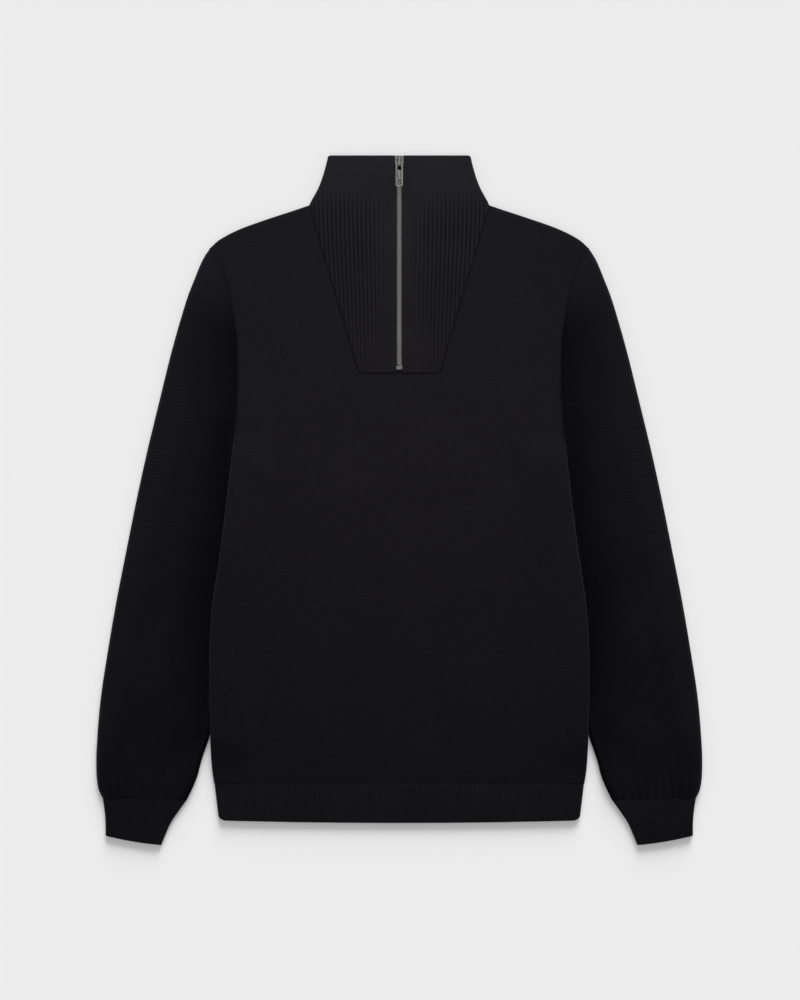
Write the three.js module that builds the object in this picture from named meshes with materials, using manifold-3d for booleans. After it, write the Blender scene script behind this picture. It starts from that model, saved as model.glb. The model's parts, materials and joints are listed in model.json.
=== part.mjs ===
// A ribbed-collar quarter zip sweater, laid flat on its back with the sleeves down beside the body.
// Millimetres, +Z up: the front faces up and the collar points to +Y. The origin lies under the
// middle of the whole garment. Heights are measured up the garment from the hem's lower edge.

import * as THREE from 'three';
import { mergeVertices } from 'three/addons/utils/BufferGeometryUtils.js';
import Module from 'manifold-3d';

const wasm = await Module();
wasm.setup();

// Driving dimensions of the cloth
const COLLAR_TOP = 750;
const CUFF_LOW = -25;
const NECK = { x: 101.4, height: 694 };
const SHOULDER_HEIGHT = 646;
const ARMPIT_HEIGHT = 440;
const PLACKET_LOW = { x: 45.2, height: 505 };
const SEAM_GAP = 0.3;
const KNIT_WALL = 2.4;
const HALF_THICKNESS = 3;
const FOLD_REACH = 3.8;
const BODY_SWELL = 0.7;
const SLEEVE_SWELL = 0.9;
const BLOUSE_RISE = 1.1;
const BACK_NECK_DIP = 5;
const CUFF_BOW = 1.2;
const MID_HEIGHT = (COLLAR_TOP + CUFF_LOW) / 2;
const ARMPIT_FADE = { below: 14, above: 6 };
const NECK_FOLD_START = 30;
const SHOULDER_SWELL_START = 0.5;
const WELD_DISTANCE = 1e-4;

// Shares of the sleeve's length and width over which its upper face rises
const SLEEVE_SHAPE = {
  farBlend: 0.2, nearFrom: 0.85, nearTo: 0.95, blouseFrom: 0.8, blouseFull: 0.95, blouseEnd: 0.97,
  farLow: 0.65, farHigh: 0.95, nearLow: 0.05, nearHigh: 0.35,
};

// Ribs of the collar, hem and cuffs
const RIB_RELIEF = 0.9;
const RIB_WALL = 2;
const RIB_STEPS = [
  { part: 0.14, crest: 0 },
  { part: 0.32, crest: 1 },
  { part: 0.68, crest: 1 },
  { part: 0.86, crest: 0 },
];
const COLLAR_RIB_PITCH = 4.8;
const HEM_RIB_PITCH = 5.8;
const CUFF_RIBS = 18;
const ZIP_EDGE_STRIP = 5;
const COLLAR_ROLL = { length: 12, drop: 1.2 };
const HEM = { top: 44, topHalf: 207.6, lowHalf: 203.4, corner: 9, bow: 2.8 };

// The zip
const ZIP_GAP_HALF = 4;
const CHAIN = { half: 3, low: 514, high: 736.7, bottom: 3.6, top: 6.1 };
const TAPE = { width: 14, low: 500, high: 744, bottom: 2.7, top: 3.3 };
const STOP = { half: 3.65, low: 509, high: 513.7, bottom: 3.6, top: 6.6 };
const SLIDER = {
  low: 737, high: 749.6, half: 4.8, lowHalf: 3.9, shoulder: 4, chamfer: 1.2, top: 7.7, plate: 1.3,
  neckHalf: 2.7,
};
const BRIDGE = { half: 0.9, low: 737.2, high: 747.4, leg: 1.7, top: 11.4, bar: 1.2, chamfer: 0.8 };
const PULL = {
  half: 4.15, length: 27, thickness: 1.3, crossbar: 1.3, axisHeight: 741.4, axisZ: 8.95, tilt: 4,
  topRadius: 1, endRadius: 3, slotHalf: 2.1, slotLength: 8.4, slotRadius: 1.3,
  holeHalf: 2.15, holeLength: 6.4, holeRadius: 1.7, holeRim: 2,
};

// Half width of the body below the neck: the side fold up to the armpit, the armhole seam above it
const BODY_EDGE = [
  { height: 44, x: 208 },
  { height: 60, x: 210.4 },
  { height: 90, x: 212 },
  { height: 140, x: 213 },
  { height: 190, x: 213.2 },
  { height: 240, x: 210.4 },
  { height: 305, x: 201.1 },
  { height: 375, x: 192.3 },
  { height: 440, x: 184.8 },
  { height: 480, x: 181.9 },
  { height: 510, x: 181.7 },
  { height: 545, x: 182.9 },
  { height: 577, x: 187.9 },
  { height: 600, x: 192.4 },
  { height: 627, x: 201.4 },
  { height: 646, x: 212.6 },
];

// Shoulder line from the neck to the top of the armhole
const SHOULDER_LINE = [
  { x: 101.4, height: 694 },
  { x: 116, height: 689 },
  { x: 150, height: 677.8 },
  { x: 180.6, height: 666.6 },
  { x: 202.5, height: 655 },
  { x: 212.6, height: 646 },
];

// Outer fold of the sleeve, from the shoulder to the cuff
const SLEEVE_OUTER = [
  { height: 646, x: 212.9 },
  { height: 633, x: 221 },
  { height: 610, x: 230.6 },
  { height: 588, x: 239 },
  { height: 532, x: 255.3 },
  { height: 475, x: 269.4 },
  { height: 419, x: 283 },
  { height: 363, x: 295.3 },
  { height: 307, x: 306.6 },
  { height: 250, x: 317.8 },
  { height: 194, x: 327.4 },
  { height: 138, x: 335.8 },
  { height: 82, x: 340.3 },
  { height: 59, x: 340.5 },
  { height: 47, x: 339.7 },
  { height: 36, x: 337.6 },
  { height: 28, x: 333.5 },
];

// Inner fold of the sleeve, which slips under the side of the body between 395 and 100
const SLEEVE_INNER = [
  { height: 440, x: 185.3 },
  { height: 400, x: 190 },
  { height: 370, x: 187.5 },
  { height: 330, x: 185 },
  { height: 280, x: 190 },
  { height: 239, x: 196.5 },
  { height: 188, x: 202.5 },
  { height: 138, x: 207.5 },
  { height: 98, x: 213 },
  { height: 86, x: 217 },
  { height: 69, x: 222.7 },
  { height: 53, x: 226.8 },
  { height: 40, x: 232 },
  { height: 26, x: 238.8 },
];

// Cross lines of the cuff from its seam down to its open end
const CUFF_LINES = [
  { innerX: 239, innerHeight: 25.7, outerX: 333.3, outerHeight: 27.7 },
  { innerX: 249, innerHeight: 11.8, outerX: 331.3, outerHeight: 14 },
  { innerX: 258, innerHeight: -2.2, outerX: 330.2, outerHeight: 1.5 },
  { innerX: 267.6, innerHeight: CUFF_LOW, outerX: 330, outerHeight: -14.5 },
];

// Side of the collar above the shoulder
const COLLAR_EDGE = [
  { height: 694, x: 101.2 },
  { height: 700, x: 98.4 },
  { height: 712, x: 91.7 },
  { height: 723, x: 87.2 },
  { height: 734, x: 83.8 },
  { height: 745, x: 81 },
  { height: 750, x: 80.2 },
];

// Columns beside a fold, by their distance from it, and how far the swell has risen there
const SIDE_COLUMNS = [
  { inset: 64, swell: 0 },
  { inset: 44, swell: 0.15 },
  { inset: 24, swell: 0.65 },
  { inset: 12, swell: 1 },
];
const FOLD_ANGLES = [90, 50, 0];
const PLACKET_COLUMN = 0.385;
const BODY_COLUMNS = [0, 0.19, PLACKET_COLUMN, 0.6, 0.8];
const UNDERARM_ROW = 472;
const BODY_ROWS = [
  HEM.top + SEAM_GAP, 62, 98, 160, 230, 300, 366, 396, 420, ARMPIT_HEIGHT, UNDERARM_ROW,
];
const YOKE_LOW = PLACKET_LOW.height - SEAM_GAP / 2;
const YOKE_ROWS = [0, 0.3, 0.6, 0.85];
const COLLAR_ROWS = [PLACKET_LOW.height + SEAM_GAP / 2, 545, 590, 635, 668];
const COLLAR_WRAP_ROWS = [NECK.height + SEAM_GAP / 2, 710, 726, 738, 746, COLLAR_TOP];
const SLEEVE_ROWS = [
  0, 0.05, 0.097, 0.17, 0.25, 0.33, 0.41, 0.49, 0.57, 0.65, 0.73, 0.79, 0.826, 0.87, 0.92, 0.96, 1,
];
const COLLAR_INNER_COLUMNS = [0, 0.15, 0.3, 0.45, 0.6, 0.75, 0.9];
const COLLAR_BACK_COLUMNS = [0.66, 0.33, 0];
const CUFF_COLUMNS = [0.12, 0.3, 0.5, 0.7, 0.88];
const HEM_INNER_STEP = 2;
const HEM_UNDER_COLUMNS = [0.94, 0.7, 0.46, 0.23, 0];
const HEM_LINES = [0, 0.5, 1];

// Heights along the armhole seam where both the body and the sleeve have a corner of their mesh
const ARMHOLE_HEIGHTS = [
  ARMPIT_HEIGHT, UNDERARM_ROW,
  ...YOKE_ROWS.map((up) => YOKE_LOW + up * (SHOULDER_HEIGHT - YOKE_LOW)), SHOULDER_HEIGHT,
];

// Keys that match points between the collar's lines: its fold, its lower layer, and round a tube
const COLLAR_KEYS = { fold: 1000, under: 2000, underSpan: 100 };
const TUBE_KEYS = { top: 1, farFold: 3, under: 5, end: 6 };

// Where the side of the body climbs over the tucked sleeve
const CLIMB = { rise: 6.3, outer: 22, inner: 64, high: 440, fullHigh: 398, fullLow: 98, low: 55 };

// Colours of the knit, the ribs and the metal
const KNIT_COLOUR = new THREE.Color().setRGB(29 / 255, 24 / 255, 26 / 255, THREE.SRGBColorSpace);
const SLEEVE_COLOUR = new THREE.Color().setRGB(18 / 255, 17 / 255, 22 / 255, THREE.SRGBColorSpace);
const RIB_COLOUR = new THREE.Color().setRGB(27 / 255, 26 / 255, 31 / 255, THREE.SRGBColorSpace);
const METAL_COLOUR = new THREE.Color().setRGB(0.55, 0.55, 0.57, THREE.SRGBColorSpace);

const { lerp, clamp, degToRad, smoothstep } = THREE.MathUtils;

// Smooth value of one column of a table at a place in another column, rising or falling
function follow(table, from, to, place) {
  const rising = table[table.length - 1][from] > table[0][from];
  const rows = rising ? table : [...table].reverse();
  const last = rows.length - 1;
  const clamped = clamp(place, rows[0][from], rows[last][from]);
  let index = rows.findIndex((row, k) => k < last && clamped <= rows[k + 1][from]);
  if (index < 0) index = last - 1;
  const slope = (k) => {
    const low = rows[Math.max(k - 1, 0)];
    const high = rows[Math.min(k + 1, last)];
    return (high[to] - low[to]) / (high[from] - low[from]);
  };
  const [start, end] = [rows[index], rows[index + 1]];
  const span = end[from] - start[from];
  const t = (clamped - start[from]) / span;
  const bend = (2 * t ** 3 - 3 * t ** 2 + 1) * start[to] + (3 * t ** 2 - 2 * t ** 3) * end[to];
  const lean = (t ** 3 - 2 * t ** 2 + t) * slope(index) + (t ** 3 - t ** 2) * slope(index + 1);
  return bend + span * lean;
}

// A point in the garment's own frame; along is its place in the line that it belongs to
function at(x, height, z, along) {
  const point = new THREE.Vector3(x, height - MID_HEIGHT, z);
  point.along = along;
  return point;
}

function spanBetween(first, second) {
  return Math.hypot(second.x - first.x, second.height - first.height);
}

// The triangles of one closed wall, gathered line by line
class Skin {
  constructor() {
    this.corners = [];
  }

  // The band between two lines, matched by each point's place along its line
  band(first, second) {
    let [i, j] = [0, 0];
    while (i < first.length - 1 || j < second.length - 1) {
      const secondDone = j === second.length - 1;
      const firstOpen = i < first.length - 1;
      if (firstOpen && (secondDone || first[i + 1].along <= second[j + 1].along)) {
        this.corners.push(first[i], first[i + 1], second[j]);
        i += 1;
      } else {
        this.corners.push(first[i], second[j + 1], second[j]);
        j += 1;
      }
    }
  }

  // The band between two lines of equal length, rung by rung
  ladder(first, second) {
    for (let k = 0; k + 1 < first.length; k += 1) {
      this.corners.push(first[k], first[k + 1], second[k + 1]);
      this.corners.push(first[k], second[k + 1], second[k]);
    }
  }

  // The two faces of a wall, given as lines of outer and of inner points
  wall(outer, inner) {
    for (let k = 0; k + 1 < outer.length; k += 1) {
      this.band(outer[k], outer[k + 1]);
      this.band(inner[k + 1], inner[k]);
    }
  }

  // Rims close a wall at its first and last line, and at the first and last point of its lines
  rimFirstLine(outer, inner) {
    this.band(inner[0], outer[0]);
  }

  rimLastLine(outer, inner) {
    this.band(outer[outer.length - 1], inner[inner.length - 1]);
  }

  rimFirstPoint(outer, inner) {
    this.ladder(outer.map((line) => line[0]), inner.map((line) => line[0]));
  }

  rimLastPoint(outer, inner) {
    this.ladder(inner.map((line) => line.at(-1)), outer.map((line) => line.at(-1)));
  }

  // Adds the mirror image across the garment's centre line
  addMirror() {
    const image = this.mirrored();
    this.corners.push(...image.corners);
    return this;
  }

  // The same wall facing the other way
  turnedOver() {
    const turned = new Skin();
    for (let k = 0; k < this.corners.length; k += 3) {
      turned.corners.push(this.corners[k], this.corners[k + 2], this.corners[k + 1]);
    }
    return turned;
  }

  mirrored() {
    const image = new Skin();
    for (let k = 0; k < this.corners.length; k += 3) {
      const [a, b, c] = this.corners.slice(k, k + 3).map((p) => new THREE.Vector3(-p.x, p.y, p.z));
      image.corners.push(a, c, b);
    }
    return image;
  }

  geometry() {
    const geometry = new THREE.BufferGeometry().setFromPoints(this.corners);
    return mergeVertices(geometry, WELD_DISTANCE);
  }
}

const bodyEdge = (height) => follow(BODY_EDGE, 'height', 'x', height);

// The armhole seam, straight between the corners that body and sleeve share
function armholeSeam(height) {
  const last = ARMHOLE_HEIGHTS.length - 1;
  const above = ARMHOLE_HEIGHTS.findIndex((level) => level > height);
  const high = height >= ARMHOLE_HEIGHTS[last] ? last : Math.max(above, 1);
  const [from, to] = [ARMHOLE_HEIGHTS[high - 1], ARMHOLE_HEIGHTS[high]];
  return lerp(bodyEdge(from), bodyEdge(to), (height - from) / (to - from));
}

const placketSeam = (height) => {
  const t = (height - PLACKET_LOW.height) / (NECK.height - PLACKET_LOW.height);
  return lerp(PLACKET_LOW.x, NECK.x, t);
};

// One at a fold, nought at an open edge or seam
function foldness(height) {
  return 1 - smoothstep(height, ARMPIT_HEIGHT - ARMPIT_FADE.below, ARMPIT_HEIGHT + ARMPIT_FADE.above);
}

// How far the side of the body lies above the surface, over the tucked sleeve
function climb(inset, height) {
  const across = 1 - smoothstep(inset, CLIMB.outer, CLIMB.inner);
  const upper = 1 - smoothstep(height, CLIMB.fullHigh, CLIMB.high);
  const lower = smoothstep(height, CLIMB.low, CLIMB.fullLow);
  return CLIMB.rise * across * upper * lower;
}

// A wall's section beside a fold: how far in from the fold, and from the mid-plane, each face is
function foldSection(angle, halfThickness, fold, wall = KNIT_WALL) {
  const turn = degToRad(angle);
  const outerInset = FOLD_REACH * (1 - Math.cos(turn));
  const innerInset = FOLD_REACH - (FOLD_REACH - wall) * Math.cos(turn);
  return {
    outerInset,
    innerInset: lerp(outerInset, innerInset, fold),
    outerRise: lerp(HALF_THICKNESS, halfThickness * Math.sin(turn), fold),
    innerRise: lerp(HALF_THICKNESS - wall, (halfThickness - wall) * Math.sin(turn), fold),
  };
}

// One cross line of the front (side 1) or the back (side -1), from the centre line to the side
function bodyLine(height, side) {
  const half = bodyEdge(height);
  const fold = foldness(height);
  const swell = side > 0 ? BODY_SWELL * fold : 0;
  const flatHalf = half - SIDE_COLUMNS[0].inset;
  const outer = [];
  const inner = [];
  const add = (line, x, rise) => {
    const z = HALF_THICKNESS + climb(half - x, height) + side * Math.max(rise, SEAM_GAP / 2);
    line.push(at(x, height, z, line.length));
  };
  for (const fraction of BODY_COLUMNS) {
    add(outer, fraction * flatHalf, HALF_THICKNESS);
    add(inner, fraction * flatHalf, HALF_THICKNESS - KNIT_WALL);
  }
  for (const column of SIDE_COLUMNS) {
    const rise = HALF_THICKNESS + swell * column.swell;
    add(outer, half - column.inset, rise);
    add(inner, half - column.inset, rise - KNIT_WALL);
  }
  for (const angle of FOLD_ANGLES) {
    const section = foldSection(angle, HALF_THICKNESS + swell, fold);
    add(outer, half - section.outerInset, section.outerRise);
    add(inner, half - section.innerInset, section.innerRise);
  }
  return { outer, inner };
}

// Place on the yoke, between the placket seam and the armhole: across and up both run from 0 to 1
function yokePlace(across, up) {
  const gap = SEAM_GAP / 2;
  const seam = (t) => {
    const height = lerp(YOKE_LOW, NECK.height - gap, t);
    return { x: placketSeam(height) + gap, height };
  };
  const armhole = (t) => {
    const height = lerp(YOKE_LOW, SHOULDER_HEIGHT, t);
    return { x: armholeSeam(height), height };
  };
  const shoulder = (s) => {
    const x = lerp(NECK.x + gap, armholeSeam(SHOULDER_HEIGHT), s);
    return { x, height: follow(SHOULDER_LINE, 'x', 'height', x) };
  };
  const mix = (key) => {
    const bottom = lerp(seam(0)[key], armhole(0)[key], across);
    const top = lerp(shoulder(0)[key], shoulder(1)[key], across);
    const sides = lerp(seam(up)[key], armhole(up)[key], across);
    const ends = lerp(bottom, shoulder(across)[key], up);
    return sides + ends - lerp(bottom, top, up);
  };
  return { x: mix('x'), height: mix('height') };
}

// The yoke's cross lines, from the placket's lower end up to the fold along the shoulder
function yokeLines(below, side) {
  const start = BODY_COLUMNS.indexOf(PLACKET_COLUMN);
  const first = below.outer[start].x;
  const width = armholeSeam(YOKE_LOW) - first;
  const length = SHOULDER_HEIGHT - YOKE_LOW;
  const across = below.outer.slice(start).map((p) => clamp((p.x - first) / width, 0, 1));
  const swell = side > 0 ? BODY_SWELL : 0;
  const line = (up, rise) => across.map((s, k) => {
    const place = yokePlace(s, up);
    const z = HALF_THICKNESS + side * Math.max(rise, SEAM_GAP / 2);
    return at(place.x, place.height, z, k + start);
  });
  const outer = [below.outer.slice(start)];
  const inner = [below.inner.slice(start)];
  for (const up of YOKE_ROWS.slice(1)) {
    const rise = HALF_THICKNESS + swell * smoothstep(up, SHOULDER_SWELL_START, 1);
    outer.push(line(up, rise));
    inner.push(line(up, rise - KNIT_WALL));
  }
  for (const angle of FOLD_ANGLES) {
    const section = foldSection(angle, HALF_THICKNESS + swell, 1);
    outer.push(line(1 - section.outerInset / length, section.outerRise));
    inner.push(line(1 - section.innerInset / length, section.innerRise));
  }
  return { outer, inner };
}

// The part of the back between the two yokes, up to the back neck seam
function backNeckLine(edge, flatRise) {
  const top = NECK.height - MID_HEIGHT;
  const low = YOKE_LOW - MID_HEIGHT;
  const places = [
    { part: 0, along: 0 }, { part: 0.5, along: 1 }, { part: 1 - FOLD_REACH / edge.x, along: 1.9 },
  ];
  const points = places.map(({ part, along }) => {
    const dip = BACK_NECK_DIP * smoothstep(edge.y, low, top) * (1 - part ** 2);
    const point = new THREE.Vector3(edge.x * part, edge.y - dip, HALF_THICKNESS - flatRise);
    point.along = along;
    return point;
  });
  return [...points, edge];
}

function bodyPanel(side) {
  const lines = [...BODY_ROWS, YOKE_LOW].map((height) => bodyLine(height, side));
  const start = BODY_COLUMNS.indexOf(PLACKET_COLUMN);
  const top = lines[lines.length - 1];
  const corner = placketSeam(YOKE_LOW) + SEAM_GAP / 2;
  for (const line of [top.outer, top.inner]) {
    line[start].x = corner;
    line[start - 1].x = corner / 2;
  }
  const outer = lines.map((line) => line.outer);
  const inner = lines.map((line) => line.inner);
  const yoke = yokeLines(top, side);
  const skin = new Skin();
  skin.wall(outer, inner);
  skin.rimFirstLine(outer, inner);
  skin.rimLastPoint(outer, inner);
  skin.wall(yoke.outer, yoke.inner);
  skin.rimLastLine(yoke.outer, yoke.inner);
  skin.rimLastPoint(yoke.outer, yoke.inner);
  const middleOuter = top.outer.slice(0, start + 1);
  const middleInner = top.inner.slice(0, start + 1);
  if (side > 0) {
    skin.rimFirstPoint(yoke.outer, yoke.inner);
    skin.band(middleOuter, middleInner);
    return skin.addMirror();
  }
  const upper = (rows, rise) => rows.slice(1).map((line) => backNeckLine(line[0], rise));
  const neckOuter = [middleOuter, ...upper(yoke.outer, HALF_THICKNESS)];
  const neckInner = [middleInner, ...upper(yoke.inner, HALF_THICKNESS - KNIT_WALL)];
  skin.wall(neckOuter, neckInner);
  skin.rimLastLine(neckOuter, neckInner);
  return skin.turnedOver().addMirror();
}

// Places across a stretch where ribs change level, as distances from its start
function ribPlaces(length, pitch) {
  const places = [];
  const count = Math.floor(length / pitch + 1e-6);
  for (let rib = 0; rib < count; rib += 1) {
    for (const { part, crest } of RIB_STEPS) places.push({ distance: (rib + part) * pitch, crest });
  }
  return places;
}

// The collar and the placket are one ribbed piece, open at the zip
function collarLine(height, wraps) {
  const half = wraps
    ? follow(COLLAR_EDGE, 'height', 'x', height)
    : placketSeam(height) - SEAM_GAP / 2;
  const fold = wraps ? 1 : smoothstep(height, NECK.height - NECK_FOLD_START, NECK.height);
  const into = clamp((height - COLLAR_TOP + COLLAR_ROLL.length) / COLLAR_ROLL.length, 0, 1);
  const roll = COLLAR_ROLL.drop * (1 - Math.sqrt(1 - into ** 2));
  const base = HALF_THICKNESS - KNIT_WALL;
  const outer = [];
  const inner = [];
  const up = (line, x, rise, along) => line.push(at(x, height, HALF_THICKNESS + rise, along));
  const ribStart = ZIP_GAP_HALF + ZIP_EDGE_STRIP;
  const ribStretch = half - FOLD_REACH - ribStart;
  up(outer, ZIP_GAP_HALF, HALF_THICKNESS - roll, ZIP_GAP_HALF);
  up(outer, ribStart, HALF_THICKNESS - roll, ribStart);
  for (const { distance, crest } of ribPlaces(ribStretch, COLLAR_RIB_PITCH)) {
    const x = ribStart + distance;
    up(outer, x, base + RIB_WALL + crest * RIB_RELIEF - roll, x);
  }
  for (const part of COLLAR_INNER_COLUMNS) {
    const x = lerp(ZIP_GAP_HALF, half - FOLD_REACH, part);
    up(inner, x, base, x);
  }
  for (const angle of FOLD_ANGLES) {
    const section = foldSection(angle, HALF_THICKNESS - roll * fold, fold, KNIT_WALL - roll * fold);
    const along = COLLAR_KEYS.fold - angle;
    up(outer, half - section.outerInset, section.outerRise - roll * (1 - fold), along);
    up(inner, half - section.innerInset, section.innerRise, along);
  }
  return { outer, inner, half };
}

function collarBackLine(height, half) {
  const outer = [];
  const inner = [];
  const neckDip = BACK_NECK_DIP * (1 - smoothstep(height, NECK.height, COLLAR_TOP));
  const down = (line, x, rise, along) => {
    const dip = neckDip * (1 - (x / half) ** 2);
    line.push(at(x, height - dip, HALF_THICKNESS - rise, along));
  };
  for (const angle of [...FOLD_ANGLES].reverse().slice(1)) {
    const section = foldSection(angle, HALF_THICKNESS, 1);
    down(outer, half - section.outerInset, section.outerRise, COLLAR_KEYS.fold + angle);
    down(inner, half - section.innerInset, section.innerRise, COLLAR_KEYS.fold + angle);
  }
  for (const part of COLLAR_BACK_COLUMNS) {
    const along = COLLAR_KEYS.under - part * COLLAR_KEYS.underSpan;
    down(outer, part * half, HALF_THICKNESS, along);
    down(inner, part * half, HALF_THICKNESS - KNIT_WALL, along);
  }
  return { outer, inner };
}

function collarPiece() {
  const skin = new Skin();
  const placket = COLLAR_ROWS.map((height) => collarLine(height, false));
  const fronts = COLLAR_WRAP_ROWS.map((height) => collarLine(height, true));
  const backs = fronts.map((line, k) => collarBackLine(COLLAR_WRAP_ROWS[k], line.half));
  placket.push(fronts[0]);
  const placketOuter = placket.map((line) => line.outer);
  const placketInner = placket.map((line) => line.inner);
  skin.wall(placketOuter, placketInner);
  skin.rimFirstLine(placketOuter, placketInner);
  skin.rimFirstPoint(placketOuter, placketInner);
  skin.rimLastPoint(placketOuter, placketInner);
  const wrapOuter = fronts.map((line, k) => [...line.outer, ...backs[k].outer]);
  const wrapInner = fronts.map((line, k) => [...line.inner, ...backs[k].inner]);
  skin.wall(wrapOuter, wrapInner);
  skin.rimFirstPoint(wrapOuter, wrapInner);
  skin.rimLastLine(wrapOuter, wrapInner);
  const [front, back] = [fronts[0], backs[0]];
  skin.band([front.inner.at(-1), ...back.inner], [front.outer.at(-1), ...back.outer]);
  return skin.addMirror();
}

// A flattened tube between a near and a far fold. place(s, t) gives its plan, and rise(s, t) how
// far its upper face stands above the plain level; ribs run from end to end where ribs is set
function flatTube({ rows, columns, place, rise, ribs }) {
  const outerLines = [];
  const innerLines = [];
  const [near, far] = [0, 1];
  for (const t of rows) {
    const across = spanBetween(place(near, t), place(far, t));
    const lines = { outer: [], inner: [] };
    const add = (line, s, z, along) => {
      const spot = place(s, t);
      line.push(at(spot.x, spot.height, HALF_THICKNESS + z, along));
    };
    const addFold = (end, up, angle) => {
      const section = foldSection(angle, HALF_THICKNESS + (up ? rise(end, t) : 0), 1);
      const turn = angle / 90;
      const nearAlong = up ? turn : TUBE_KEYS.end - turn;
      const farAlong = up ? TUBE_KEYS.farFold - turn : TUBE_KEYS.farFold + turn;
      const along = end === near ? nearAlong : farAlong;
      const from = (inset) => (end === near ? inset / across : 1 - inset / across);
      add(lines.outer, from(section.outerInset), (up ? 1 : -1) * section.outerRise, along);
      add(lines.inner, from(section.innerInset), (up ? 1 : -1) * section.innerRise, along);
    };
    const rising = [...FOLD_ANGLES].reverse();
    rising.forEach((angle) => addFold(near, true, angle));
    if (ribs) {
      const stretch = across - 2 * FOLD_REACH;
      for (const { distance, crest } of ribPlaces(stretch, stretch / ribs)) {
        const s = (FOLD_REACH + distance) / across;
        const z = HALF_THICKNESS - KNIT_WALL + RIB_WALL + crest * RIB_RELIEF;
        add(lines.outer, s, z, TUBE_KEYS.top + s);
      }
    }
    for (const s of columns) {
      if (!ribs) add(lines.outer, s, HALF_THICKNESS + rise(s, t), TUBE_KEYS.top + s);
      add(lines.inner, s, HALF_THICKNESS - KNIT_WALL + rise(s, t), TUBE_KEYS.top + s);
    }
    FOLD_ANGLES.forEach((angle) => addFold(far, true, angle));
    rising.slice(1).forEach((angle) => addFold(far, false, angle));
    for (const s of [...columns].reverse()) {
      add(lines.outer, s, -HALF_THICKNESS, TUBE_KEYS.under - s);
      add(lines.inner, s, KNIT_WALL - HALF_THICKNESS, TUBE_KEYS.under - s);
    }
    FOLD_ANGLES.slice(0, -1).forEach((angle) => addFold(near, false, angle));
    for (const line of [lines.outer, lines.inner]) {
      line.push(line[0].clone());
      line.at(-1).along = TUBE_KEYS.end;
    }
    outerLines.push(lines.outer);
    innerLines.push(lines.inner);
  }
  const skin = new Skin();
  skin.wall(innerLines, outerLines);
  skin.rimFirstLine(innerLines, outerLines);
  skin.rimLastLine(innerLines, outerLines);
  return skin;
}

// Place on the sleeve: s from its inner to its outer fold, t from the armhole to the cuff
function sleevePlace(s, t) {
  const cuff = CUFF_LINES[0];
  const inner = (v) => {
    const height = lerp(ARMPIT_HEIGHT, cuff.innerHeight + SEAM_GAP, v);
    return { x: follow(SLEEVE_INNER, 'height', 'x', height), height };
  };
  const outer = (v) => {
    const height = lerp(SHOULDER_HEIGHT, cuff.outerHeight + SEAM_GAP, v);
    return { x: follow(SLEEVE_OUTER, 'height', 'x', height), height };
  };
  const armhole = (u) => {
    const height = lerp(ARMPIT_HEIGHT, SHOULDER_HEIGHT, u);
    const gap = lerp(inner(0).x - bodyEdge(ARMPIT_HEIGHT), outer(0).x - bodyEdge(SHOULDER_HEIGHT), u);
    return { x: armholeSeam(height) + gap, height };
  };
  const mix = (key) => {
    const top = lerp(inner(0)[key], outer(0)[key], s);
    const end = lerp(inner(1)[key], outer(1)[key], s);
    const sides = lerp(inner(t)[key], outer(t)[key], s);
    return sides + lerp(armhole(s)[key], end, t) - lerp(top, end, t);
  };
  return { x: mix('x'), height: mix('height') };
}

function sleeve() {
  const {
    farBlend, nearFrom, nearTo, blouseFrom, blouseFull, blouseEnd, farLow, farHigh, nearLow, nearHigh,
  } = SLEEVE_SHAPE;
  const farSwell = (t) => lerp(BODY_SWELL, SLEEVE_SWELL, smoothstep(t, 0, farBlend));
  const nearSwell = (t) => SLEEVE_SWELL * smoothstep(t, nearFrom, nearTo);
  const blouse = (t) => (
    BLOUSE_RISE * smoothstep(t, blouseFrom, blouseFull) * (1 - smoothstep(t, blouseEnd, 1))
  );
  return flatTube({
    rows: SLEEVE_ROWS,
    columns: ARMHOLE_HEIGHTS.slice(1, -1).map(
      (height) => (height - ARMPIT_HEIGHT) / (SHOULDER_HEIGHT - ARMPIT_HEIGHT),
    ),
    place: sleevePlace,
    rise: (s, t) => blouse(t) + farSwell(t) * smoothstep(s, farLow, farHigh)
      + nearSwell(t) * (1 - smoothstep(s, nearLow, nearHigh)),
  });
}

function cuff() {
  const last = CUFF_LINES.length - 1;
  const line = (t) => {
    const index = Math.min(Math.floor(t * last), last - 1);
    const part = t * last - index;
    const mix = (key) => lerp(CUFF_LINES[index][key], CUFF_LINES[index + 1][key], part);
    return {
      innerX: mix('innerX'), innerHeight: mix('innerHeight'),
      outerX: mix('outerX'), outerHeight: mix('outerHeight'),
    };
  };
  return flatTube({
    rows: CUFF_LINES.map((_, k) => k / last),
    columns: CUFF_COLUMNS,
    place: (s, t) => {
      const { innerX, innerHeight, outerX, outerHeight } = line(t);
      const bow = CUFF_BOW * t * Math.sin(Math.PI * s);
      return { x: lerp(innerX, outerX, s), height: lerp(innerHeight, outerHeight, s) - bow };
    },
    rise: () => 0,
    ribs: CUFF_RIBS,
  });
}

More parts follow.
